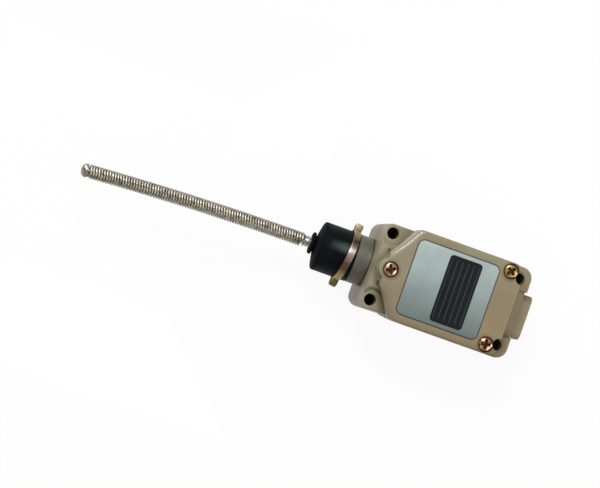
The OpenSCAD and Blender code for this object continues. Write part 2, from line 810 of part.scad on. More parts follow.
module contact_spring() {
    x0 = pusher_collar_x + pusher_collar_t;
    l = bridge_x - bridge_t / 2 - x0;
    r = (pusher_collar_d - spring_wire) / 2;
    color(steel) along_x(x0)
        coil(r, spring_wire, fitted_pitch(l, spring_wire, bend_r, spring_curls), spring_curls, bend_r);
}

module contact_bridge() {
    color("#b08d4a") {
        difference() {
            translate([bridge_x - bridge_t / 2, -bridge_l / 2, axis_z - bridge_h / 2])
                cube([bridge_t, bridge_l, bridge_h]);
            along_x(bridge_x - over) cylinder(d = pusher_d + 2 * fit, h = 2 * over);
        }
        for (y = [-1, 1]) translate([0, y * rivet_y, 0]) along_x(bridge_x - bridge_t / 2 - rivet_h)
            cylinder(d = rivet_d, h = bridge_t + 2 * rivet_h);
    }
}

module block_screws() {
    color(steel) for (p = block_screw_places) translate([p.x, p.y, lid_top])
        screw(block_screw_head_d, block_screw_head_t, block_screw_d, lid_top - floor_t + block_bite);
}

module ground_screw() {
    color("#6f8f5a") translate([ground.x, ground.y, floor_t + ground_post_h])
        screw(ground_head_d, ground_head_t, ground_thread_d, ground_bite);
}

switch_case();
cover();
cover_gasket();
cover_screws();
nameplate();
head_collar();
head_seal();
retainer_ring();
retainer_screws();
rubber_boot();
boot_clamp();
ball_liner();
lever_stem();
lever_ferrule();
lever_spring();
lever_tip();
plunger();
plunger_spring();
contact_base();
contact_lid();
contact_pusher();
contact_spring();
contact_bridge();
nc_terminals();
no_terminals();
terminal_screws();
terminal_washers();
terminal_barrier();
block_screws();
ground_screw();
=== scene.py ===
# %% [markdown]
# # A limit switch with a spring-rod lever
# The part lies on its back: Z points out of the cover, the lever runs along -X and the conduit
# entry faces +X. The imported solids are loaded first, as a fixed frame. A scene could be started
# empty and fitted later, but then every piece would have to be measured twice.

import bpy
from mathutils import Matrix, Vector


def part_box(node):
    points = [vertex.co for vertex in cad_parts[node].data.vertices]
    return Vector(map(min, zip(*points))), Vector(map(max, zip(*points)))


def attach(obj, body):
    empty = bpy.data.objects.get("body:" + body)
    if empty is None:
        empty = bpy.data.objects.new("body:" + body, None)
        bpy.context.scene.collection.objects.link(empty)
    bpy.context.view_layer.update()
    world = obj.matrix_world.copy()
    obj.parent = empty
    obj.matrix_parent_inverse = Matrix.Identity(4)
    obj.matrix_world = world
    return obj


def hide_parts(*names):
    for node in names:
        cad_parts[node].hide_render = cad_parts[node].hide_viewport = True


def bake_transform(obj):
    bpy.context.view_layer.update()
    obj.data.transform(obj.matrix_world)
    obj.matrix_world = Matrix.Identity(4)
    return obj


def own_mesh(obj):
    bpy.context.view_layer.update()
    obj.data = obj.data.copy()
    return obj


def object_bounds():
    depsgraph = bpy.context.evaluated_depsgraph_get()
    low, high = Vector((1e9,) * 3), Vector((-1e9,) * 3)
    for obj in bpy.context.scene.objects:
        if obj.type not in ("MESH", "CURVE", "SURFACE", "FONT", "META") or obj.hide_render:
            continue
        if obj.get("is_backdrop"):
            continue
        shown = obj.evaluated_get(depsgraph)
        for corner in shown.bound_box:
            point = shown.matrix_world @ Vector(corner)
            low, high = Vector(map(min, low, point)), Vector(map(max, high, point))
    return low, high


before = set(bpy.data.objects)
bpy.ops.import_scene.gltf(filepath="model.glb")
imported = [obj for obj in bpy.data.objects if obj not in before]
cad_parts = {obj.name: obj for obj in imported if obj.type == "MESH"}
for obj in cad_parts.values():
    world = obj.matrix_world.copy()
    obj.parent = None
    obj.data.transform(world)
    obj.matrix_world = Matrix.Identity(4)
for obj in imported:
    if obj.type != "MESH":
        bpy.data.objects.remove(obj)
solid_box = [list(corner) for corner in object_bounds()]

# %% [markdown]
# ## The camera
# The photograph looks almost straight down at the cover, a little from the lever's side, with
# the part turned in the picture. The view is worked out from three angles and a scale at one
# point of the part. It could be set by eye, but angles can be corrected one at a time.

# %% Camera
from math import asin, cos, degrees, hypot, pi, radians, sin

import bmesh
import bpy
from mathutils import Matrix, Vector

MM = 0.001
lean_to_lever, lean_down, turn_in_picture = radians(6), radians(2), radians(19.70)
picture_wide, picture_high = 600, 488
pixels_per_mm, away_mm = 2.3025, 1200
look_mm, look_pixel = Vector((-64, 0, 20)), (301.96, 239.37)

toward = Vector((-sin(lean_to_lever), -sin(lean_down) * cos(lean_to_lever),
                 cos(lean_down) * cos(lean_to_lever)))
level = (Vector((1, 0, 0)) - toward * toward.x).normalized()
upright = toward.cross(level)
right = cos(turn_in_picture) * level + sin(turn_in_picture) * upright
up = cos(turn_in_picture) * upright - sin(turn_in_picture) * level
aim_mm = look_mm + right * ((picture_wide / 2 - look_pixel[0]) / pixels_per_mm)
aim_mm = aim_mm - up * ((picture_high / 2 - look_pixel[1]) / pixels_per_mm)

eye = bpy.data.cameras.new("camera")
eye.sensor_width = 36
eye.lens = eye.sensor_width * pixels_per_mm * away_mm / picture_wide
camera = bpy.data.objects.new("camera", eye)
facing = Matrix((right, up, toward)).transposed().to_4x4()
camera.matrix_world = Matrix.Translation((aim_mm + toward * away_mm) * MM) @ facing
bpy.context.scene.collection.objects.link(camera)
bpy.context.scene.camera = camera
bpy.context.scene.view_settings.view_transform = "Standard"
print("camera: lens", round(eye.lens, 1), "mm")

# %% [markdown]
# ## One small tool for finishes
# A finish is a material whose colour and gloss vary over the surface. Shader sums could be wired
# node by node. Here a small class wraps a socket, so a sum is written as a sum, and one method
# makes any other node from its kind, its settings and its sockets.

# %% Finish tools
def feed(tree, slot, value):
    if isinstance(value, Shade):
        tree.links.new(value.socket, slot)
    else:
        slot.default_value = value


class Shade:
    """A value that varies over a surface. Sums on it add Math nodes."""

    def __init__(self, tree, socket):
        self.tree, self.socket = tree, socket

    def math(self, operation, *others, clamp=False):
        node = self.tree.nodes.new("ShaderNodeMath")
        node.operation, node.use_clamp = operation, clamp
        for slot, value in zip(node.inputs, (self, *others)):
            feed(self.tree, slot, value)
        return Shade(self.tree, node.outputs[0])

    def __add__(self, other):
        return self.math("ADD", other)

    def __sub__(self, other):
        return self.math("SUBTRACT", other)

    def __mul__(self, other):
        return self.math("MULTIPLY", other)

    def __truediv__(self, other):
        return self.math("DIVIDE", other)

    def __rsub__(self, other):
        return self * -1 + other

    def __abs__(self):
        return self.math("ABSOLUTE")

    __radd__, __rmul__ = __add__, __mul__

    def above(self, other):
        return self.math("MAXIMUM", other)

    def below(self, other):
        return self.math("MINIMUM", other)

    def step(self, start, end):
        """0 before start and 1 after end, in a soft step"""
        return ((self - start) / (end - start)).math("ADD", 0.0, clamp=True)


class Finish:
    """A material with its surface shader, which finds places on the piece in millimetres."""

    def __init__(self, name):
        self.made = bpy.data.materials.new(name)
        self.made.use_nodes = True
        self.tree = self.made.node_tree
        self.skin = self.tree.nodes["Principled BSDF"]
        self.place = self.node("TexCoord", out="Object")

    def node(self, kind, settings={}, sockets={}, out=0):
        node = self.tree.nodes.new("ShaderNode" + kind)
        for key, value in settings.items():
            if key == "stops":
                ramp = node.color_ramp
                ramp.elements[0].position, ramp.elements[1].position = value[0][0], value[-1][0]
                ramp.elements[0].color, ramp.elements[1].color = value[0][1], value[-1][1]
                for position, colour in value[1:-1]:
                    ramp.elements.new(position).color = colour
            else:
                setattr(node, key, value)
        for key, value in sockets.items():
            feed(self.tree, node.inputs[key], value)
        return Shade(self.tree, node.outputs[out])

    def axes(self):
        """x, y and z in millimetres"""
        return [self.node("SeparateXYZ", {}, {0: self.place}, out=k) * 1000 for k in "XYZ"]

    def noise(self, grain_mm, detail=2.0, stretch=(1, 1, 1)):
        """Noise whose grain is about grain_mm across, drawn out along an axis by stretch"""
        place = self.node("Mapping", {}, {"Vector": self.place, "Scale": [1 / s for s in stretch]})
        return self.node("TexNoise", {}, {"Vector": place, "Scale": 1000 / grain_mm, "Detail": detail})

    def mix(self, share, a, b):
        return self.node("Mix", {"data_type": "RGBA"}, {0: share, 6: a, 7: b}, out=2)

    def wear(self, **sockets):
        """Sets the surface shader's sockets, written with _ for a space"""
        for key, value in sockets.items():
            feed(self.tree, self.skin.inputs[key.replace("_", " ")], value)

    def bump(self, height, depth_mm, strength=1.0):
        sockets = {"Height": height, "Distance": depth_mm * MM, "Strength": strength}
        self.wear(Normal=self.node("Bump", {}, sockets))


def tint(red, green, blue):
    """A colour read as 0-255 on a screen, as the linear light that the shader takes"""
    part = [c / 255 for c in (red, green, blue)]
    return [c / 12.92 if c <= 0.04045 else ((c + 0.055) / 1.055) ** 2.4 for c in part] + [1]


print("finish tools ready")

# %% [markdown]
# ## Floor and light
# The picture has a plain white ground and soft light from above, stronger from the upper left.
# A white ground could be burnt out with lamps, but that would bleach the part. Instead the floor
# shows most of its own white to the camera and to reflections, and keeps a share of the shadow.
# It stays dark under the case, so that the mounting holes look deep, and it dips under the lever's
# end, because at its lowest tilt the lever passes below the case's back.

# %% Lamps
def soft_lamp(name, at_mm, aim_at_mm, size, watts):
    lamp = bpy.data.lights.new(name, "AREA")
    lamp.size, lamp.energy = size, watts
    holder = bpy.data.objects.new(name, lamp)
    holder.location = Vector(at_mm) * MM
    holder.rotation_euler = (Vector(at_mm) - Vector(aim_at_mm)).to_track_quat("Z", "Y").to_euler()
    bpy.context.scene.collection.objects.link(holder)


PART_MIDDLE, ROOM_LIGHT = (-40, 0, 20), 0.42
soft_lamp("key_lamp", (-330, 500, 830), PART_MIDDLE, 0.30, 4.4)
soft_lamp("back_lamp", (-480, 420, 130), PART_MIDDLE, 0.35, 1.4)
soft_lamp("fill_lamp", (640, -160, 480), PART_MIDDLE, 0.7, 2.8)
world = bpy.data.worlds.new("room")
bpy.context.scene.world = world
world.use_nodes = True
room = world.node_tree.nodes["Background"].inputs
room["Color"].default_value = (1, 1, 1, 1)
room["Strength"].default_value = ROOM_LIGHT
print("lamps:", len(bpy.data.lights))

# %% Floor
UNDER_X, UNDER_Y, OWN_WHITE = 32.4, 18.1, 0.92
FLOOR_HALF_M, FLOOR_DROP = 3.0, 0.1
DIP_FAR, DIP_NEAR, DIP_SIDE, DIP_SLOPE, DIP_DEEP = -260, -62, 95, 45, 10
ground = Finish("white_floor")


def ray(kind):
    return ground.node("LightPath", out=kind)


seen = ray("Is Camera Ray").above(ray("Is Glossy Ray")).above(ray("Is Transmission Ray"))
x, y, z = ground.axes()
clear = (abs(x) - UNDER_X).above(abs(y) - UNDER_Y).step(-0.4, 0.0)
ground.wear(Base_Color=ground.mix(seen, tint(128, 122, 112), tint(246, 246, 246)), Roughness=0.9)
glow = ground.node("Emission", {}, {"Color": (1, 1, 1, 1), "Strength": 1.0})
lit = Shade(ground.tree, ground.skin.outputs[0])
both = ground.node("MixShader", {}, {0: seen * clear * OWN_WHITE, 1: lit, 2: glow})
ground.tree.links.new(both.socket, ground.tree.nodes["Material Output"].inputs["Surface"])

sheet = bmesh.new()
lowered = Matrix.Translation((0, 0, -FLOOR_DROP * MM))
bmesh.ops.create_grid(sheet, x_segments=1, y_segments=1, size=FLOOR_HALF_M, matrix=lowered)
for across, at_mm in ((0, DIP_FAR), (0, DIP_NEAR), (1, -DIP_SIDE), (1, DIP_SIDE)):
    line = Vector((1 - across, across, 0))
    bmesh.ops.bisect_plane(sheet, geom=sheet.verts[:] + sheet.edges[:] + sheet.faces[:],
                           plane_co=line * at_mm * MM, plane_no=line)
centres = {f: f.calc_center_median() / MM for f in sheet.faces}
dip = [f for f, c in centres.items() if DIP_FAR < c.x < DIP_NEAR and abs(c.y) < DIP_SIDE]
bmesh.ops.inset_region(sheet, faces=dip, thickness=DIP_SLOPE * MM, depth=-DIP_DEEP * MM, use_even_offset=True)
floor_mesh = bpy.data.meshes.new("floor")
sheet.to_mesh(floor_mesh)
sheet.free()
floor_mesh.materials.append(ground.made)
floor = bpy.data.objects.new("floor", floor_mesh)
bpy.context.scene.collection.objects.link(floor)
floor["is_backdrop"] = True
print("floor:", len(floor_mesh.polygons), "faces,", DIP_DEEP, "mm deep under the lever")

# %% [markdown]
# ## Tools for shapes
# Most pieces of a switch are either plates cut to an outline or pieces turned on a lathe. The
# first tool fills an outline with its holes, pulls it down to a thickness and eases its rim. The
# second spins a profile round an axis. The third takes one shape out of another with a Boolean,
# for bores and recesses that run across the plates. Sizes are given in millimetres.

# %% Shape tools
AXIS_Z, HEAD_X = 19.5, -34.3
ON_HEAD = Matrix.Translation((HEAD_X * MM, 0, AXIS_Z * MM)) @ Matrix.Rotation(radians(-90), 4, "Y")


def arc(x, y, r, start, end, steps=10):
    """Points on a circle, from one angle to another in degrees"""
    turns = [radians(start + (end - start) * i / steps) for i in range(steps + 1)]
    return [(x + r * cos(t), y + r * sin(t)) for t in turns]


def ring(x, y, r, steps=32):
    return arc(x, y, r, 0, 360, steps)[:-1]


def box_loop(x0, x1, y0, y1, r=0.0):
    """A rectangle whose corners carry a rounding"""
    return [(x0, y0, r), (x1, y0, r), (x1, y1, r), (x0, y1, r)]


def mirrored(loop):
    """The same outline on the other side of the X axis, run the other way"""
    return [(p[0], -p[1], *p[2:]) for p in reversed(loop)]


def eased(bm, geom, width, segments=3, affect="EDGES"):
    """Rounds edges, or the corners of a flat outline with affect VERTICES"""
    if geom and width:
        bmesh.ops.bevel(bm, geom=geom, offset=width * MM, offset_type="OFFSET", segments=segments,
                        profile=0.5, affect=affect, material=-1, clamp_overlap=False)


def outward(bm):
    """Turns every face of a closed shape outwards"""
    bmesh.ops.recalc_face_normals(bm, faces=bm.faces)
    if bm.calc_volume(signed=True) < 0:
        bmesh.ops.reverse_faces(bm, faces=bm.faces)
    return bm


def slab(loops, low, high, ease=0.0, hole_ease=0.0, sharp=lambda x, y: False):
    """The first loop with the others as holes, from low to high. A corner with a third number is
    rounded by it. The upper rims are eased, but the outer one stays sharp where sharp() is true."""
    bm = bmesh.new()
    for loop in loops:
        corners = [bm.verts.new((p[0] * MM, p[1] * MM, high * MM)) for p in loop]
        bm.faces.new(corners)
        for corner, p in zip(corners, loop):
            if len(p) == 3:
                eased(bm, [corner], p[2], 8, "VERTICES")
    flats = sorted(bm.faces, key=lambda f: -f.calc_area())
    rims = [list(f.edges) for f in flats]
    bmesh.ops.delete(bm, geom=flats, context="FACES_ONLY")
    every_rim = [e for r in rims for e in r]
    filled = bmesh.ops.triangle_fill(bm, use_beauty=True, use_dissolve=False, edges=every_rim)
    top = [g for g in filled["geom"] if isinstance(g, bmesh.types.BMFace)]
    if len(loops) == 1:
        top = bmesh.ops.dissolve_faces(bm, faces=top)["region"]
    pulled = bmesh.ops.extrude_face_region(bm, geom=top, use_keep_orig=True)
    lower = [g for g in pulled["geom"] if isinstance(g, bmesh.types.BMVert)]
    bmesh.ops.translate(bm, vec=(0, 0, (low - high) * MM), verts=lower)
    outward(bm)

    outer = [e for e in rims[0] if not all(sharp(v.co.x / MM, v.co.y / MM) for v in e.verts)]
    eased(bm, outer, ease)
    eased(bm, [e for r in rims[1:] for e in r], hole_ease, 2)
    return bm


def turned(profile, steps=72):
    """A closed or open (distance along the axis, radius) profile, spun round the local Z axis"""
    bm = bmesh.new()
    line = [bm.verts.new((r * MM, 0, s * MM)) for s, r in profile]
    edges = [bm.edges.new(pair) for pair in zip(line, line[1:])]
    bmesh.ops.spin(bm, geom=line + edges, cent=(0, 0, 0), axis=(0, 0, 1), angle=2 * pi, steps=steps,
                   use_merge=True)
    bmesh.ops.remove_doubles(bm, verts=bm.verts, dist=0.001 * MM)
    return outward(bm)


def joined(*parts):
    """Puts (shape, place) pairs together in one mesh"""
    whole = bmesh.new()
    scrap = bpy.data.meshes.new("scrap")
    for shape, place in parts:
        bmesh.ops.transform(shape, matrix=place, verts=shape.verts)
        shape.to_mesh(scrap)
        shape.free()
        whole.from_mesh(scrap)
    bpy.data.meshes.remove(scrap)
    return whole


HERE = Matrix.Identity(4)


def cut(shape, cutter):
    """The shape without the cutter, both spent"""
    made = []
    for name, bm in (("shape", shape), ("cutter", cutter)):
        mesh = bpy.data.meshes.new(name)
        bm.to_mesh(mesh)
        bm.free()
        made.append(bpy.data.objects.new(name, mesh))
        bpy.context.scene.collection.objects.link(made[-1])
    blade = made[0].modifiers.new("cut", "BOOLEAN")
    blade.operation, blade.solver, blade.object = "DIFFERENCE", "EXACT", made[1]
    state = bpy.context.evaluated_depsgraph_get()
    left = bpy.data.meshes.new_from_object(made[0].evaluated_get(state))
    result = bmesh.new()
    result.from_mesh(left)
    bpy.data.meshes.remove(left)
    for spent in made:
        mesh = spent.data
        bpy.data.objects.remove(spent)
        bpy.data.meshes.remove(mesh)
    return result


def piece(name, bm, finish, body, nodes=(), smooth=40):
    """Makes the object: shaded smooth but for its sharp edges, riding on a body, in place of its nodes"""
    mesh = bpy.data.meshes.new(name)
    bm.to_mesh(mesh)
    bm.free()
    mesh.materials.append(finish.made)
    mesh.shade_smooth()
    mesh.set_sharp_from_angle(angle=radians(smooth))
    made = bpy.data.objects.new(name, mesh)
    bpy.context.scene.collection.objects.link(made)
    if body:
        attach(made, body)
    if nodes:
        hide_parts(*nodes)
    print("made", name, len(mesh.polygons), "faces")
    return made


print("shape tools ready")

# %% [markdown]
# ## Beige paint
# The case and its cover are die castings under a sandy beige enamel, with a fine orange-peel grain
# that sparkles where light grazes it, and faint painted glints. One noise sets the broad tone, and
# two finer ones the grain and the flecks. Painted shade, partly with grime, makes it browner to the
# lower right, on the -Y side, low on the walls, beside the cover's shoulders and round the screws;
# those places are set here already. Painted light lifts the head end.

# %% Beige paint
TONGUE_X, SCREW_X, SCREW_Y, HOLE_X, HOLE_Y = -25.9, 23.7, 16.65, 29.35, 15.1
WAIST_X, WAIST_Y, INWARD_X, INWARD_Y = -25.0, 12.4, 0.868, 0.497
screw_places = [(TONGUE_X, 0), (SCREW_X, SCREW_Y), (SCREW_X, -SCREW_Y)]
paint = Finish("beige_paint")
x, y, z = paint.axes()
broad = paint.noise(16, 3).step(0.35, 0.68)
grain = paint.noise(0.8, 3)
fleck = paint.noise(0.5, 2).step(0.54, 0.74)
tone = paint.mix(broad, tint(146, 139, 113), tint(136, 126, 99))
# Painted shade: browner towards the lower right, darker on the -Y side and low on the walls, where less light
# falls.
tone = paint.mix((x * 0.5 - y).step(-14, 22) * 0.6, tone, tint(146, 124, 95))
tone = paint.mix((1 - y.step(-20, -12)) * 0.35, tone, tint(112, 96, 73))
tone = paint.mix((1 - z.step(30, 34.5)) * (1 - x.step(27, 29)) * 0.65, tone, tint(108, 96, 72))
# Painted light: the head end's upper walls and top are lightened, as if lit from the upper left.
tone = paint.mix((1 - x.step(-31, -25)) * z.step(24, 33) * 0.45, tone, tint(168, 164, 136))
# Faint painted glints: light flecks in the colour. The same fleck noise also makes the paint glossier below.
tone = paint.mix(fleck * 0.06, tone, tint(196, 190, 168))
print("tones of", paint.made.name)

# %% Painted shade, grime and polish on the paint
# Grime and painted shade on the case beside the cover's shoulders, stronger on the -Y side, away from the
# light.
beyond = (abs(y) - WAIST_Y) * INWARD_Y - (x - WAIST_X) * INWARD_X
grime_and_shade = beyond.step(-0.2, 0.3) * (1 - beyond.step(0.6, 3.2)) * (1 - z.step(38.6, 39.2)) * z.step(32, 34)
grime_and_shade = grime_and_shade * (0.3 + 0.55 * (1 - y.step(-10, 8))) * (0.5 + broad * 0.5)


def reach(px, py):
    """Millimetres from an upright line on the painted pieces"""
    return ((x - px) * (x - px) + (y - py) * (y - py)).math("SQRT")


# Painted shade, partly grime, round each screw recess, heavier on the side away from the light.
for px, py in screw_places:
    under = (x - px) * 0.34 - (y - py) * 0.94
    grime_and_shade = grime_and_shade.above((1 - reach(px, py).step(3.3, 4.9)) * (0.35 + 0.5 * under.step(-1, 3)))
# Painted shadow of the step round mounting hole B, on the bridge side.
step_shadow_ring = abs(reach(-HOLE_X, -HOLE_Y) - 5.6).step(0.2, 1.3)
grime_and_shade = grime_and_shade.above((1 - step_shadow_ring) * (y + x * 0.25).step(-20, -17) * z.step(36, 37) * 0.3)
# Painted shade: the sloped conduit end is darker and browner, with painted shadow at its lower end.
ramp = x.step(29.7, 30.1) * (1 - x.step(34.6, 35.4)) * (1 - abs(y).step(10.6, 11.0))
tone = paint.mix(ramp * 0.6, tone, tint(124, 110, 76))
grime_and_shade = grime_and_shade.above(ramp * (1 - (y + x * 0.3).step(-0.5, 3.5)) * 0.75)
# Painted shade in the inner corner between the neck and the block, beside the cover. All the grime and shade
# mix in below.
corner = (1 - abs(x + 21.3).step(0.8, 2.4)) * abs(y).step(18.3, 19.0) * (1 - z.step(33.5, 36.4))
tone = paint.mix(grime_and_shade.above(corner * 0.8), tone, tint(84, 70, 47))
polish = (1 - abs(beyond + 2.0).step(0.2, 3.8)) * abs(y).step(5, 12) * z.step(38.7, 39.5)
paint.wear(Base_Color=tone, Roughness=0.40 - 0.12 * fleck + 0.08 * grain - 0.2 * polish)
paint.wear(Coat_Weight=0.03 + 0.6 * polish, Coat_Roughness=0.2, Specular_IOR_Level=0.3)
paint.bump(grain, 0.08, 0.6)
print("finish:", paint.made.name)

# %% [markdown]
# ## The case
# The case is a block with a lower rim for the cover, a raised bridge at the head, four mounting
# holes and a boss for the conduit. It could be cut from one solid, but stacked plates keep every
# outline readable, and the walls draw in a little towards the back, as a casting leaves its mould.
# The wiring space is cut out of the block round the posts that carry the screws, and then the
# bores for the plunger and the conduit are cut.

# %% Case values
HALF_W, NECK_W, END_X, RIM_Z, PAD_Z, PIT_Z, BRIDGE_Z = 20.6, 19.1, 35.0, 33.0, 36.5, 37.5, 38.5
CORNER_X, CORNER_R, END_R, HEAD_R, SHOULDER_X = -20.3, 3.0, 5.0, 4.5, -21.2
NOTCH_X, NOTCH_Y, FRONT_HALF, BRIDGE_HALF = -28.4, 7.4, 13.5, 12.4
HOLE_R, SPOT_R, TONGUE_R, SEAM = 2.6, 5.2, 5.2, 0.05
SLOPE_X, SLOPE_Z, SLOPE_HALF = 29.9, 27.9, 10.6
BOSS_Z, BOSS_HALF, BOSS_X, BORE_R, BORE_DEEP = 17.0, 9.9, 39.6, 7.5, 26.0
HOLLOW_X0, HOLLOW_X1, HOLLOW_HALF, FLOOR_T = -17.6, 27.4, 17.3, 4.0
COLUMN_R, POST_R, EARTH_R, EARTH_Z = 4.8, 3.65, 3.2, 10.0
TAIL_R, TAIL_L, TUNNEL_R, TUNNEL_L = 9.05, 6.2, 6.5, 17.2
DRAFT, DRAFT_X, DRAFT_Y, LEAN, LEAN_X = 1.15, -20.4, 15, 0.068, -32.0
SIDEWAYS = Matrix(((0, 0, 1, 0), (1, 0, 0, 0), (0, 1, 0, 0), (0, 0, 0, 1)))

body_loop = [(CORNER_X, -HALF_W, CORNER_R), (END_X, -HALF_W, END_R)]
body_loop = body_loop + [(END_X, -SLOPE_HALF), (SLOPE_X, -SLOPE_HALF)]
body_loop = body_loop + mirrored(body_loop)
head_loop = box_loop(HEAD_X, HOLLOW_X0, -NECK_W, NECK_W)
head_loop = [(p[0], p[1], HEAD_R) if p[0] == HEAD_X else p[:2] for p in head_loop]
waist, notch = (WAIST_X - SEAM, WAIST_Y + SEAM), (NOTCH_X - SEAM, NOTCH_Y + SEAM)
shoulder = (SHOULDER_X - SEAM, NECK_W)
waist_low, notch_low = (waist[0], -waist[1]), (notch[0], -notch[1])
pit = [(-28.15, 7.82), (-29.45, 8.60), (-29.45, 6.10), (-28.45, 6.60)]
tongue = arc(TONGUE_X, 0, TONGUE_R + SEAM, 119.0, 241.0, 16)
front = [(HEAD_X, NECK_W, HEAD_R), (HEAD_X, FRONT_HALF), (HEAD_X, -FRONT_HALF), (HEAD_X, -NECK_W, HEAD_R)]
pad_low = [(px, -py) for px, py in (shoulder, waist, notch)]
pad_loop = [shoulder] + front + pad_low + tongue[::-1] + [notch, waist]
print("case outlines:", len(body_loop), "and", len(pad_loop), "points")

# %% Bridge outlines and the head's bore
near_spot = [(HEAD_X, -BRIDGE_HALF)] + arc(-HOLE_X, -HOLE_Y, SPOT_R, 128, 45, 14)
bridge_loop = near_spot + mirrored(near_spot)
behind_low, behind = (-20, -18), (-20, 18)
saddle_cut = [behind_low, waist_low, notch_low] + tongue[::-1] + [notch, waist, behind]
bridge_cut = [behind_low, waist_low] + (pit + tongue + mirrored(pit))[::-1] + [waist, behind]
foot_holes = [ring(-HOLE_X, y0, HOLE_R) for y0 in (HOLE_Y, -HOLE_Y)]
end_holes = [ring(HOLE_X, y0, HOLE_R) for y0 in (HOLE_Y, -HOLE_Y)]


def head_bore():
    """A stepped cutter along the head's axis: the collar's seat, then the plunger's tunnel"""
    profile = [(1, 0), (1, TAIL_R), (-TAIL_L, TAIL_R)]
    profile = profile + [(-TAIL_L, TUNNEL_R), (-TUNNEL_L, TUNNEL_R), (-TUNNEL_L, 0)]
    return joined((turned(profile, 48), ON_HEAD))


print("bridge outline:", len(bridge_loop), "points")

# %% Wiring space
earth_low, earth_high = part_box("ground_screw")
earth_x, earth_y = [(a + b) / 2 / MM for a, b in zip(earth_low[:2], earth_high[:2])]
posts = [(HOLE_X, y0, COLUMN_R, RIM_Z + 2) for y0 in (HOLE_Y, -HOLE_Y)]
posts = posts + [(SCREW_X, y0, POST_R, RIM_Z + 2) for y0 in (SCREW_Y, -SCREW_Y)]
posts = posts + [(earth_x, earth_y, EARTH_R, EARTH_Z)]
hollow = slab([box_loop(HOLLOW_X0, HOLLOW_X1, -HOLLOW_HALF, HOLLOW_HALF)], FLOOR_T, RIM_Z + 1)
for px, py, r, top in posts:
    hollow = cut(hollow, slab([ring(px, py, r)], FLOOR_T - 1, top))
print("wiring space round", len(posts), "posts")

# %% Case plates
PAD_SHARP_X, PAD_SHARP_Y = -26.1, 13.6
ALONG_X = Matrix.Translation((0, 0, BOSS_Z * MM)) @ Matrix.Rotation(radians(90), 4, "Y")
block = slab([body_loop] + end_holes, 0, RIM_Z, 0.3, 0.2)
block = cut(cut(block, hollow), head_bore())
inlet = turned([(BORE_DEEP, 0), (BORE_DEEP, BORE_R), (END_X, BORE_R), (END_X, 0)], 48)
block = cut(block, joined((inlet, ALONG_X)))
neck = cut(slab([head_loop] + foot_holes, 0, AXIS_Z), head_bore())
shoulders = cut(slab([head_loop] + foot_holes, AXIS_Z, RIM_Z), head_bore())
pads = slab([pad_loop] + foot_holes, RIM_Z, PAD_Z, 0.35, 0.25,
            sharp=lambda px, py: abs(py) < PAD_SHARP_Y or px > PAD_SHARP_X)
saddle = cut(slab([bridge_loop], PAD_Z, PIT_Z), slab([saddle_cut], PAD_Z - 1, BRIDGE_Z))
bridge = cut(slab([bridge_loop], PIT_Z, BRIDGE_Z, 0.7), slab([bridge_cut], PIT_Z - 1, BRIDGE_Z + 1))
slope = slab([box_loop(-SLOPE_HALF, SLOPE_HALF, 0, RIM_Z), ring(0, BOSS_Z, BORE_R, 48)], SLOPE_X, END_X)
for v in slope.verts:
    if v.co.y > (RIM_Z - 1) * MM and v.co.z > (END_X - 1) * MM:
        v.co.y = SLOPE_Z * MM
boss_loop = box_loop(-BOSS_HALF, BOSS_HALF, BOSS_Z - BOSS_HALF, BOSS_Z + BOSS_HALF, 3.0)
boss = slab([boss_loop, ring(0, BOSS_Z, BORE_R, 48)], END_X, BOSS_X, 0.8, 0.5)
plates = [(plate, HERE) for plate in (block, neck, shoulders, pads, saddle, bridge)]
case = joined(*plates, (slope, SIDEWAYS), (boss, SIDEWAYS))
print("case plates:", len(plates) + 2)

# %% Draft and lean of the case
for v in case.verts:
    out = abs(v.co.y) / MM - DRAFT_Y
    near_hole = abs(hypot(abs(v.co.x) / MM - HOLE_X, abs(v.co.y) / MM - HOLE_Y) - HOLE_R) < 0.1
    if v.co.z < 1 * MM and out > 0 and v.co.x > DRAFT_X * MM and not near_hole:
        v.co.y -= (1 if v.co.y > 0 else -1) * DRAFT * out / (HALF_W - DRAFT_Y) * MM
    at_face = min(max((LEAN_X - v.co.x / MM) / (LEAN_X - HEAD_X), 0), 1)
    v.co.x += max(v.co.z - AXIS_Z * MM, 0) * LEAN * at_face
piece("case_casting", case, paint, "case", ["switch_case"])

# %% [markdown]
# ## The cover
# The cover is a thick cast lid with a tongue round the head-end screw, and its rim is rounded.
# Three plates make it: a lower one that carries the screw heads, an upper one round them, and the
# nameplate's bed. Its two shoulders fall away, so the upper plate is sliced there and let down. The
# screws' recesses are drilled last, and at the conduit end they run out into the mounting holes.

# %% Cover outlines
COVER_Z, SCREW_Z, COVER_TOP = 34.0, 39.4, 42.0
COVER_END_X, COVER_END_Y = 24.6, 15.6
RECESS_R, CLEAR_R, FLARE, BED_LAP = 3.4, 2.9, 0.3, 1.005
FALL, FALL_L, FALL_FROM_Y, FALL_OVER_Y = 1.5, 4, 5, 4
PLATE_X, PLATE_L, PLATE_W, PLATE_R, PLATE_T = 0.3, 37.6, 34.2, 3.0, 0.5


def cover_loop(notched):
    """The cover's outline, with or without the notches round the mounting holes"""
    corner = arc(COVER_END_X, COVER_END_Y, END_R, 0, 90, 12)
    if notched:
        corner = arc(HOLE_X, HOLE_Y, CLEAR_R, -85.05, -263.1, 18)
        corner = corner + arc(COVER_END_X, COVER_END_Y, END_R, 28.4, 90, 8)[1:]
    half = corner + [(CORNER_X, HALF_W, CORNER_R), (WAIST_X, WAIST_Y), (NOTCH_X, NOTCH_Y)]
    tip = arc(TONGUE_X, 0, TONGUE_R, 118.7, 241.3, 20)
    return half + tip + mirrored(half)


def drill(px, py, r, low):
    """A round cutter down to low, flared where it leaves the cover's face"""
    wide, top = r + FLARE, COVER_TOP + 1
    profile = [(low, 0), (low, r), (COVER_TOP - 0.2, r), (COVER_TOP + 0.1, wide), (top, wide), (top, 0)]
    return turned(profile, 48), Matrix.Translation((px * MM, py * MM, 0))


print("cover outline:", len(cover_loop(False)), "points")

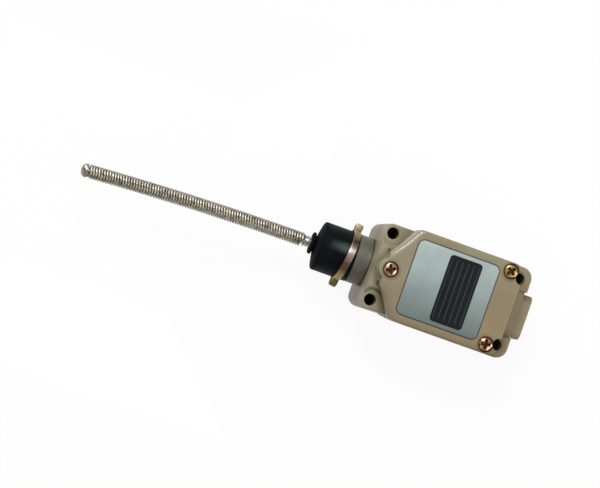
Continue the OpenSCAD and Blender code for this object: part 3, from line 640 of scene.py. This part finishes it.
# %% Cover
half_l, half_p = PLATE_L / 2, PLATE_W / 2
bed_loop = box_loop(PLATE_X - half_l, PLATE_X + half_l, -half_p, half_p, PLATE_R)
under = slab([cover_loop(True)], COVER_Z, SCREW_Z)
upper = slab([cover_loop(False), bed_loop], SCREW_Z, COVER_TOP, 1.0, 0.15)
for side in (1, -1):
    inward, foot_at = Vector((INWARD_X, -INWARD_Y * side, 0)), Vector((WAIST_X, WAIST_Y * side, 0)) * MM
    for deep in (0.5, 1.0, 1.6, 2.3, 3.1, 4.0):
        bmesh.ops.bisect_plane(upper, geom=upper.verts[:] + upper.edges[:] + upper.faces[:], dist=1e-6,
                               plane_co=foot_at + inward * deep * MM, plane_no=inward)
    for v in upper.verts:
        deep = (v.co - foot_at).dot(inward) / MM
        off_tongue = min(max((v.co.y * side / MM - FALL_FROM_Y) / FALL_OVER_Y, 0), 1)
        if deep < FALL_L:
            fall = off_tongue * FALL * MM * (1 - deep / FALL_L) ** 2
            v.co.z -= fall * (v.co.z / MM - SCREW_Z) / (COVER_TOP - SCREW_Z)
drills = [drill(px, py, RECESS_R, SCREW_Z - 1) for px, py in screw_places]
drills = drills + [drill(HOLE_X, py, CLEAR_R, SCREW_Z - 2) for py in (HOLE_Y, -HOLE_Y)]
for shape, place in drills:
    upper = cut(upper, joined((shape, place)))
bed = slab([[(p[0] * BED_LAP, p[1] * BED_LAP, p[2]) for p in bed_loop]], SCREW_Z, COVER_TOP - PLATE_T)
cover = joined((under, HERE), (upper, HERE), (bed, HERE))
piece("cover_casting", cover, paint, "case", ["cover"])

# %% [markdown]
# ## The nameplate
# A thin sheet of bluish aluminium lies in the cover's bed, with a dark ruled panel across it. The
# panel could be a second sheet, but print has no thickness, so the finish draws it: the distance
# to a rounded rectangle is worked out from the place on the plate.

# %% Nameplate
plate_finish = Finish("plate_aluminium")
x, y, z = plate_finish.axes()
PANEL_X, PANEL_HALF_X, PANEL_HALF_Y, PANEL_R = 4.03, 7.4, 15.0, 1.7
RULE_GAP, RULE_FROM, RULE_HALF_X, RULE_HALF_Y, PLATE_GAP = 2.5, 7.5, 6.2, 13.2, 0.15


def rounded_distance(x, y, half_x, half_y, r):
    """Millimetres outside a rounded rectangle, below 0 inside it"""
    dx, dy = abs(x) - (half_x - r), abs(y) - (half_y - r)
    far = (dx.above(0.0) * dx.above(0.0) + dy.above(0.0) * dy.above(0.0)).math("SQRT")
    return far + dx.above(dy).below(0.0) - r


panel = 1 - rounded_distance(x - PANEL_X, y, PANEL_HALF_X, PANEL_HALF_Y, PANEL_R).step(-0.12, 0.12)
# The plate's outer edge, where the shadow of the gap round it is painted.
gap_shade = rounded_distance(x - PLATE_X, y, half_l, half_p, PLATE_R).step(-0.7, -0.3)
brush = plate_finish.noise(0.4, 3, (1, 40, 1))
cloud = plate_finish.noise(14, 2)
plate_tone_and_shade = plate_finish.mix(cloud.step(0.3, 0.7), tint(178, 194, 192), tint(164, 178, 176))
plate_tone_and_shade = plate_finish.mix(brush.step(0.35, 0.75) * 0.25, plate_tone_and_shade, tint(196, 208, 205))
# Painted shade: the plate darkens towards its lower, -Y side.
plate_tone_and_shade = plate_finish.mix((1 - (y - x * 0.15).step(-19, 9)) * 0.9, plate_tone_and_shade, tint(100, 110, 104))
# Painted shade along the plate's edge.
plate_tone_and_shade = plate_finish.mix(gap_shade * 0.85, plate_tone_and_shade, tint(60, 62, 56))
ink = plate_finish.mix(cloud.step(0.3, 0.7), tint(10, 15, 18), tint(18, 24, 28))
rows = (x - PANEL_X + RULE_FROM) / RULE_GAP
row = abs(rows - rows.math("FLOOR") - 0.5)
past_rules = (abs(x - PANEL_X) - RULE_HALF_X).above(abs(y) - RULE_HALF_Y).step(0, 0.2)
rule = (1 - row.step(0.03, 0.07)) * (1 - past_rules)
ink = plate_finish.mix(rule * 0.3, ink, tint(120, 130, 132))
plate_finish.wear(Base_Color=plate_finish.mix(panel, plate_tone_and_shade, ink), Metallic=0.35 - 0.35 * panel,
                  Roughness=0.34 + 0.10 * brush + 0.2 * panel, Specular_IOR_Level=0.2)
plate_finish.bump(brush, 0.01, 0.25)
plate_loop = box_loop(PLATE_X - half_l + PLATE_GAP, PLATE_X + half_l - PLATE_GAP,
                      PLATE_GAP - half_p, half_p - PLATE_GAP, PLATE_R - PLATE_GAP)
plate_sheet = slab([plate_loop], COVER_TOP - PLATE_T, COVER_TOP, 0.12)
piece("name_plate", plate_sheet, plate_finish, "case", ["nameplate"])

# %% [markdown]
# ## Cover screws
# Three pan-head screws with a crossed recess hold the cover, in a coppery gold plating. The head
# is turned from a profile, and a cross of two tapered bars is cut out of it. The recess could be
# inset from the dome's faces, but it crosses them at a slant, so a cut is the plain way.

# %% Gold plating
gold = Finish("gold_plating")
stain = gold.noise(1.6, 3)
scratch = gold.noise(0.25, 2)
x, y, z = gold.axes()
copper = gold.mix(stain.step(0.4, 0.6), tint(238, 196, 162), tint(150, 92, 56))
copper = gold.mix((x + y).step(30, 36) * 0.75, copper, tint(186, 156, 96))
# Painted shade: the heads darken low down, in their recesses and at the bottom of the cross.
copper = gold.mix((1 - z.step(40.4, 41.4)) * 0.85, copper, tint(52, 34, 20))
gold.wear(Base_Color=copper, Metallic=0.9, Roughness=0.16 + 0.22 * scratch)
gold.bump(scratch, 0.02, 0.3)
print("finish:", gold.made.name)

# %% Cover screws
SCREW_HEAD_R, SCREW_HEAD_T, SHANK_R, SCREW_TURNS = 3.28, 2.35, 1.6, (24, 52, 8)


def tapered_bar(length, width, low, high):
    """A bar along X that narrows downwards"""
    bm = bmesh.new()
    bmesh.ops.create_cube(bm, size=1.0)
    for v in bm.verts:
        narrow = 1.0 if v.co.z > 0 else 0.6
        v.co = Vector((v.co.x * length * narrow, v.co.y * width * narrow, high if v.co.z > 0 else low)) * MM
    return bm


def cross_screw(head_r, head_t, shank_r, shank_l):
    """A pan-head screw along Z, its head standing on z = 0"""
    dome = [(-shank_l, 0), (-shank_l, shank_r), (0, shank_r), (0, head_r), (head_t * 0.45, head_r),
            (head_t * 0.72, head_r * 0.93), (head_t * 0.92, head_r * 0.72),
            (head_t, head_r * 0.42), (head_t, 0)]
    long, short, top = head_r * 1.55, head_r * 0.46, head_t * 1.3
    slotted = cut(turned(dome, 40), tapered_bar(long, short, head_t * 0.15, top))
    return cut(slotted, tapered_bar(short, long, head_t * 0.16, top))


low_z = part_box("cover_screws")[0].z / MM
screws = []
for (px, py), turn in zip(screw_places, SCREW_TURNS):
    place = Matrix.Translation((px * MM, py * MM, SCREW_Z * MM)) @ Matrix.Rotation(radians(turn), 4, "Z")
    screws.append((cross_screw(SCREW_HEAD_R, SCREW_HEAD_T, SHANK_R, SCREW_Z - low_z), place))
piece("cover_screw_set", joined(*screws), gold, "case", ["cover_screws"], 30)

# %% [markdown]
# ## The collar's foot
# The head's turned collar sits in a face that leans back a little above the axis, as the casting's
# mould asks. The collar's own solid ends on the upright face, so a short ring carries it on into
# the lean. Turning it is simpler than bending the collar, and the collar keeps its exact bore.

# %% Collar foot
collar = Finish("collar_metal")
lathe = collar.noise(0.5, 2, (14, 1, 1))
smear = collar.noise(5, 3).step(0.3, 0.7)
x, y, z = collar.axes()
grey = collar.mix(smear * 0.6 + lathe * 0.4, tint(136, 132, 121), tint(96, 92, 83))
# Painted shade: the collar darkens towards both flanks, most on the -Y side, as a lit cylinder does.
grey = collar.mix((1 - y.step(-10, -1)) * 0.55, grey, tint(66, 63, 56))
grey = collar.mix(y.step(2, 9) * 0.45, grey, tint(76, 76, 66))
# Painted shade: a dark line where the collar meets the leaning face.
past_face = x - HEAD_X - (z - AXIS_Z).above(0.0) * LEAN
grey = collar.mix(past_face.step(-0.7, -0.4) * 0.85, grey, tint(40, 38, 29))
collar.wear(Base_Color=grey, Metallic=0.5, Roughness=0.36 + 0.2 * lathe)
collar.bump(lathe, 0.02, 0.3)
FOOT_IN_R, FOOT_OUT_R, FOOT_BACK, FOOT_FRONT = 9.3, 10.78, -2.2, 0.6
foot = turned([(FOOT_BACK, FOOT_IN_R), (FOOT_BACK, FOOT_OUT_R), (FOOT_FRONT, FOOT_OUT_R),
               (FOOT_FRONT, FOOT_IN_R), (FOOT_BACK, FOOT_IN_R)])
piece("collar_foot", joined((foot, ON_HEAD)), collar, "case", [])

# %% [markdown]
# ## The rubber boot
# A black moulded cap covers the lever's ball joint. The lever tilts about two crossed axes, one
# after the other, so the boot is made in two rings that meet at one circle: a lower skirt and an upper crown.

# %% Boot rubber
rubber = Finish("boot_rubber")
mould = rubber.noise(0.35, 2)
dust = rubber.noise(7, 3).step(0.45, 0.75)
x, y, z = rubber.axes()
black = rubber.mix(dust * 0.5, tint(9, 10, 13), tint(18, 21, 25))
# Painted highlight: a soft bluish sheen along the top of the boot, broken up by the dust noise.
painted_sheen = (1 - abs(y - 2.4).step(0.2, 2.8)) * z.step(26, 29) * (1 - abs(x + 46.5).step(1, 7))
black = rubber.mix(painted_sheen * (0.6 + 0.4 * dust), black, tint(86, 100, 99))
rim_matt = 1 - x.step(-56, -54.5)
matt = 0.42 + 0.10 * mould + 0.08 * dust + 0.25 * rim_matt
rubber.wear(Base_Color=black, Roughness=matt, Specular_IOR_Level=0.08)
rubber.bump(mould, 0.03, 0.3)
print("finish:", rubber.made.name)

# %% Rubber boot
BOOT_R, BOOT_T, BEAD_R, HEM_S, SKIRT_S, MEET_S = 10.9, 1.5, 8.5, 6.1, 6.5, 16.7
RIM_S, TOP_S, LIP_S, LIP_T, LIP_R, LIP_NECK_R, STEM_R = 22.0, 23.6, 24.4, 1.4, 4.9, 3.6, 2.25
WALL_R = BOOT_R - BOOT_T
bead = [(8.9, BOOT_R - 1.6), (8.9, BEAD_R), (HEM_S, BEAD_R), (HEM_S, BOOT_R - 0.4), (SKIRT_S, BOOT_R)]
wall = [(SKIRT_S + (MEET_S - SKIRT_S) * i / 12, BOOT_R) for i in range(1, 13)]
skirt = [(MEET_S, WALL_R)] + bead + wall + [(MEET_S, WALL_R)]
outside = [(MEET_S, BOOT_R), (18.5, BOOT_R), (20.2, BOOT_R), (21.5, BOOT_R), (21.95, BOOT_R - 0.15),
           (22.3, BOOT_R - 0.5), (22.55, BOOT_R - 1.1), (23.0, BOOT_R - 3.0), (TOP_S, BOOT_R - 5.6)]
lip = [(TOP_S + 0.05, 3.9), (TOP_S + 0.2, LIP_NECK_R), (LIP_S, LIP_NECK_R), (LIP_S, LIP_R - 0.3),
       (LIP_S + 0.3, LIP_R), (LIP_S + LIP_T - 0.4, LIP_R), (LIP_S + LIP_T, LIP_R - 0.5),
       (LIP_S + LIP_T, STEM_R), (22.5, STEM_R)]
inside = [(22.0, 5.5), (21.4, 8.4), (20.5, WALL_R), (18.5, WALL_R)]
crown = [(MEET_S, WALL_R)] + outside + lip + inside + [(MEET_S, WALL_R)]


skirt_ring, crown_ring = joined((turned(skirt), ON_HEAD)), joined((turned(crown), ON_HEAD))
boot_low = piece("boot_skirt", skirt_ring, rubber, None, ["rubber_boot"])
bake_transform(boot_low)
boot_high = piece("boot_crown", crown_ring, rubber, None, ["rubber_boot"])
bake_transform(boot_high)

# %% [markdown]
# ## The band clamp
# A strip of plated steel squeezes the boot's skirt on the neck, and its two ears are the crimped
# loops. It sits a little askew. The plating's colour drifts from olive to pink round the band, so
# the finish follows the place across the part, broken up by noise. The same ramp also holds a
# painted highlight and painted shade.

# %% Clamp plating
zinc = Finish("clamp_plating")
x, y, z = zinc.axes()
drift = y + (zinc.noise(3, 3) - 0.5) * 2.5
# Plating tones with painted light: a pinkish-white painted highlight at 0.58, a painted dark band at 0.71, a
# pale painted highlight on the top ear at 0.95 and painted shade on the lower ear at 0.06.
stops = [(0.06, tint(104, 98, 62)), (0.13, tint(160, 152, 90)), (0.21, tint(158, 138, 86)),
         (0.29, tint(104, 80, 60)), (0.38, tint(112, 84, 70)), (0.51, tint(186, 158, 146)),
         (0.58, tint(252, 244, 238)), (0.64, tint(160, 136, 122)), (0.71, tint(56, 46, 36)),
         (0.79, tint(120, 112, 74)), (0.86, tint(148, 142, 94)), (0.95, tint(206, 186, 166))]
painted_sheen = zinc.node("ValToRGB", {"stops": stops}, {0: drift.step(-15, 15)})
rub = zinc.noise(0.5, 2, (1, 12, 12))
painted_sheen = zinc.mix(rub.step(0.5, 0.66) * 0.4, painted_sheen, tint(88, 68, 54))
zinc.wear(Base_Color=painted_sheen, Metallic=0.6, Roughness=0.30 + 0.16 * rub)
zinc.bump(rub, 0.02, 0.3)
print("finish:", zinc.made.name)

# %% Band clamp
BAND_OUT, BAND_IN, BAND_W, BAND_T, BAND_S = 12.09, 11.19, 3.2, 0.9, 9.2
EAR_R, EAR_HALF, ASKEW, ASKEW_ABOUT = 14.8, 2.2, 6.4, 26


def band_loop(r, ear_r, ear_half, soft):
    """A circle with an ear at the top and the bottom, whose corners are rounded by soft"""
    edge = degrees(asin(ear_half / r))
    right_side = arc(0, 0, r, edge - 90, 90 - edge, 36)
    left_side = arc(0, 0, r, 90 + edge, 270 - edge, 36)
    top_ear = [(ear_half, ear_r, soft), (-ear_half, ear_r, soft)]
    low_ear = [(-ear_half, -ear_r, soft * 1.6), (ear_half, -ear_r, soft * 1.6)]
    return right_side + top_ear + left_side + low_ear


outer_loop = band_loop(BAND_OUT, EAR_R, EAR_HALF, 1.3)
inner_loop = band_loop(BAND_IN, EAR_R - BAND_T, EAR_HALF - BAND_T, 0.6)
band = slab([outer_loop, inner_loop], -BAND_W / 2, BAND_W / 2)
skin = [f for f in band.faces if abs(f.normal.z) < 0.5 and f.normal.dot(f.calc_center_median()) > 0]
eased(band, [e for f in skin for e in f.edges if e.verts[0].co.z == e.verts[1].co.z], 0.55, 4)
about = Vector((-cos(radians(ASKEW_ABOUT)), sin(radians(ASKEW_ABOUT)), 0))
askew = Matrix.Rotation(radians(ASKEW), 4, about)
clamp_place = ON_HEAD @ Matrix.Translation((0, 0, BAND_S * MM)) @ askew
piece("band_clamp", joined((band, clamp_place)), zinc, "case", ["boot_clamp"])

# %% [markdown]
# ## The lever
# The lever is a close-wound spring rod on a plain stem, with a rounded plug at its end. The wire
# could follow a curve object, but a small circle spun with a rise at each step is a coil at once.
# It is then bent a little, because the real rod has taken a slight set.

# %% Spring wire
wire_steel = Finish("spring_wire")
smut = wire_steel.noise(2.2, 3)
fine = wire_steel.noise(0.3, 2)
x, y, z = wire_steel.axes()
steel_tone_and_shade = wire_steel.mix(smut.step(0.42, 0.75), tint(198, 192, 176), tint(122, 112, 94))
# Painted shade: the wire darkens below the top of the rod, so only its upper side stays bright.
steel_tone_and_shade = wire_steel.mix((1 - z.step(20.4, 22.4)) * 0.72, steel_tone_and_shade, tint(84, 77, 58))
wire_steel.wear(Base_Color=steel_tone_and_shade, Metallic=1.0, Roughness=0.2 + 0.2 * fine)
wire_steel.bump(fine, 0.015, 0.3)
print("finish:", wire_steel.made.name)

# %% Spring rod
COIL_S, COIL_L, COIL_R, WIRE, PITCH, SET_MM, PLUG_IN = 29.1, 99.1, 3.15, 1.12, 1.2, 3.4, 1.2
SET_R = COIL_L**2 / (2 * SET_MM)


def coil(r, wire, pitch, turns, steps, sides):
    """A wire wound up the Z axis, closed at both ends"""
    bm = bmesh.new()
    start = Matrix.Translation((r * MM, 0, 0)) @ Matrix.Rotation(radians(90), 4, "X")
    made = bmesh.ops.create_circle(bm, cap_ends=False, segments=sides, radius=wire / 2 * MM, matrix=start)
    geom = made["verts"] + list({e for v in made["verts"] for e in v.link_edges})
    bmesh.ops.spin(bm, geom=geom, cent=(0, 0, 0), axis=(0, 0, 1), dvec=(0, 0, pitch / steps * MM),
                   angle=2 * pi * turns, steps=round(turns * steps), use_merge=False)
    bmesh.ops.holes_fill(bm, edges=[e for e in bm.edges if e.is_boundary], sides=sides)
    return outward(bm)


def set_bend(bm):
    """Bends a shape built along +Z towards -Y, in an arc that starts square"""
    for v in bm.verts:
        a = v.co.z / MM / SET_R
        out = SET_R + v.co.y / MM
        v.co.y, v.co.z = (out * cos(a) - SET_R) * MM, out * sin(a) * MM
    return bm


turns = (COIL_L - PLUG_IN - WIRE) / PITCH
rod = coil(COIL_R - WIRE / 2, WIRE, PITCH, turns, 24, 8)
bmesh.ops.translate(rod, vec=(0, 0, WIRE / 2 * MM), verts=rod.verts)
rod_place = ON_HEAD @ Matrix.Translation((0, 0, COIL_S * MM))
rod = joined((set_bend(rod), rod_place))
piece("spring_rod", rod, wire_steel, "lever", ["lever_spring"], 60)

# %% [markdown]
# ## Ferrule and tip
# A flared steel collar stands between the boot and the coil, and a rounded plug closes the coil's
# free end. Both are lathe work, so each is a spun profile. The plug could be set by hand, but the
# bend's own radius gives the place and the slant of the rod's end.

# %% Ferrule and tip
bright = Finish("bright_steel")
haze = bright.noise(1.2, 3)
lathe = bright.noise(0.3, 2, (0.2, 8, 8))
pale = bright.mix(haze, tint(196, 190, 178), tint(160, 150, 136))
bright.wear(Base_Color=pale, Metallic=1.0, Roughness=0.24 + 0.2 * lathe)
bright.bump(lathe, 0.015, 0.3)
ferrule = turned([(26.7, 2.1), (26.7, 2.35), (26.9, 2.5), (27.2, 2.35), (28.6, 2.35), (28.8, 2.7),
                  (29.1, 2.8), (29.1, 2.1), (26.7, 2.1)], 48)
piece("rod_ferrule", joined((ferrule, ON_HEAD)), bright, "lever", ["lever_ferrule"])
slant = COIL_L / SET_R
tip_end = Matrix.Translation((0, (cos(slant) - 1) * SET_R * MM, sin(slant) * SET_R * MM))
tip_place = rod_place @ tip_end @ Matrix.Rotation(slant, 4, "X")
plug = turned([(-5.0, 0), (-5.0, 1.8), (-1.2, 1.8), (-1.2, 2.75), (-1.08, 2.75), (-1.05, 3.0), (-0.5, 3.08),
               (0.2, 2.95), (0.75, 2.65), (1.2, 2.15), (1.55, 1.5), (1.75, 0.8), (1.82, 0)], 40)
piece("rod_tip", joined((plug, tip_place)), wire_steel, "lever", ["lever_tip"])

# %% [markdown]
# ## Springs inside
# Two small springs work out of sight: one lifts the plunger back, one presses the contact bridge.
# Each has its real coil, made to fill its solid's box. The plunger's spring lies between the case
# and the plunger. The bridge's spring rides on the pusher; it shortens as the pusher gains on the
# bridge, but here it keeps its length.

# %% Inner springs
INNER_WIRE, INNER_TURNS = 0.6, 4


def inner_spring(node, wire, count):
    """A coil that fills the box of a spring's solid, and that box"""
    low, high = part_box(node)
    length, r = (high.x - low.x) / MM, (high.z - low.z) / MM / 2 - wire / 2
    shape = coil(r, wire, (length - wire) / count, count, 20, 8)
    foot_at = (low.x + wire / 2 * MM, (low.y + high.y) / 2, (low.z + high.z) / 2)
    place = Matrix.Translation(foot_at) @ Matrix.Rotation(radians(90), 4, "Y")
    return joined((shape, place)), low, high


shape, low, high = inner_spring("plunger_spring", INNER_WIRE, INNER_TURNS)
plunger_coil = piece("plunger_coil", shape, wire_steel, None, ["plunger_spring"], 60)
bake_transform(plunger_coil)
shape, low, high = inner_spring("contact_spring", INNER_WIRE, INNER_TURNS)
bridge_coil = piece("bridge_coil", shape, wire_steel, "pusher", ["contact_spring"], 60)
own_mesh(bridge_coil)

# %% [markdown]
# ## The conduit thread
# The conduit entry is tapped with a pipe thread, which is left bare of paint. A thread is a coil
# too, so the spring's tool makes it: a four-sided wire sunk half into the bore's wall leaves a
# sharp ridge at each turn. Cutting a real groove would take a Boolean and look no different.

# %% Conduit thread
tapped = Finish("tapped_zinc")
cutting = tapped.noise(0.4, 2, (1, 6, 6))
raw = tapped.mix(cutting, tint(150, 146, 138), tint(104, 100, 92))
tapped.wear(Base_Color=raw, Metallic=0.8, Roughness=0.3 + 0.2 * cutting)
tapped.bump(cutting, 0.02, 0.3)
THREAD_PITCH, THREAD_RIDGE, THREAD_TURNS, THREAD_SUNK, THREAD_IN = 1.34, 1.1, 6.5, 0.05, 1.4
thread = coil(BORE_R - THREAD_SUNK, THREAD_RIDGE, THREAD_PITCH, THREAD_TURNS, 40, 4)
thread_x = BOSS_X - THREAD_IN - THREAD_PITCH * THREAD_TURNS
thread_place = ALONG_X @ Matrix.Translation((0, 0, thread_x * MM))
piece("conduit_thread", joined((thread, thread_place)), tapped, "case", [], 30)

# %% [markdown]
# ## Finishes of the pieces that keep their solids
# The collar, the head's seal and the parts inside have the right shape already, so they keep their
# solids and only get a finish. Each finish has its own noise, so that no surface is one flat colour.

# %% Other finishes
def plain_finish(name, light, dark, grain_mm, roughness, metallic=0.0, stretch=(1, 1, 1)):
    made = Finish(name)
    patch = made.noise(grain_mm * 8, 3).step(0.3, 0.7)
    grain = made.noise(grain_mm, 2, stretch)
    made.wear(Base_Color=made.mix(patch * 0.7 + grain * 0.3, tint(*light), tint(*dark)), Metallic=metallic,
              Roughness=roughness + 0.2 * grain)
    made.bump(grain, 0.02, 0.3)
    return made


seal = plain_finish("seal_rubber", (36, 36, 36), (24, 24, 25), 0.4, 0.6)
nylon = plain_finish("white_nylon", (228, 224, 210), (210, 204, 188), 0.6, 0.35)
phenolic = plain_finish("brown_phenolic", (66, 46, 36), (46, 32, 26), 0.7, 0.4)
fibre = plain_finish("grey_fibre", (120, 116, 106), (96, 92, 84), 0.5, 0.6, 0.0, (6, 1, 1))
brass = plain_finish("contact_brass", (196, 160, 92), (160, 124, 66), 0.5, 0.28, 1.0)
green = plain_finish("earth_green", (74, 128, 70), (52, 98, 52), 0.5, 0.3, 0.4)
print("finishes:", len(bpy.data.materials))

# %% Give the solids their finishes
wearing = {
    collar: ["head_collar"],
    seal: ["head_seal"],
    nylon: ["ball_liner", "contact_pusher"],
    phenolic: ["contact_base", "contact_lid"],
    fibre: ["terminal_barrier"],
    brass: ["contact_bridge", "nc_terminals", "no_terminals"],
    bright: ["retainer_ring", "retainer_screws", "lever_stem", "plunger", "terminal_screws",
             "terminal_washers", "block_screws"],
    green: ["ground_screw"],
}
for finish, names in wearing.items():
    for name in names:
        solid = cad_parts[name]
        solid.data.materials.clear()
        solid.data.materials.append(finish.made)
print("solids dressed:", sum(len(names) for names in wearing.values()))

# %% [markdown]
# ## The cover's gasket
# A flat rubber seal is squeezed between the case and the cover, and shows as a dark line round the
# seam. Its own solid has square corners, which would stick out past the rounded castings. So it is
# made again from the cover's outline, open over the wiring space and round the three screws.

# %% Cover gasket
SHANK_CLEAR, POST_X, POST_Y = 1.9, 19.5, 12.5
opening = [(HOLLOW_X0, -HOLLOW_HALF), (POST_X, -HOLLOW_HALF), (POST_X, -POST_Y), (HOLLOW_X1, -POST_Y)]
shank_holes = [ring(px, py, SHANK_CLEAR) for px, py in screw_places]
gasket_loops = [cover_loop(True), opening + mirrored(opening)] + shank_holes
piece("gasket_ring", slab(gasket_loops, RIM_Z, COVER_Z), seal, "case", ["cover_gasket"])

# %% [markdown]
# ## Sizes and the end
# The boxes of the solids and of the dressed part are printed side by side. The dressed
# part must not outgrow its solids.

# %% Finish
dressed_box = [list(corner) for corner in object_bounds()]
for label, box in (("solid", solid_box), ("dressed", dressed_box)):
    print(label, "box:", [[round(v, 4) for v in corner] for corner in box])
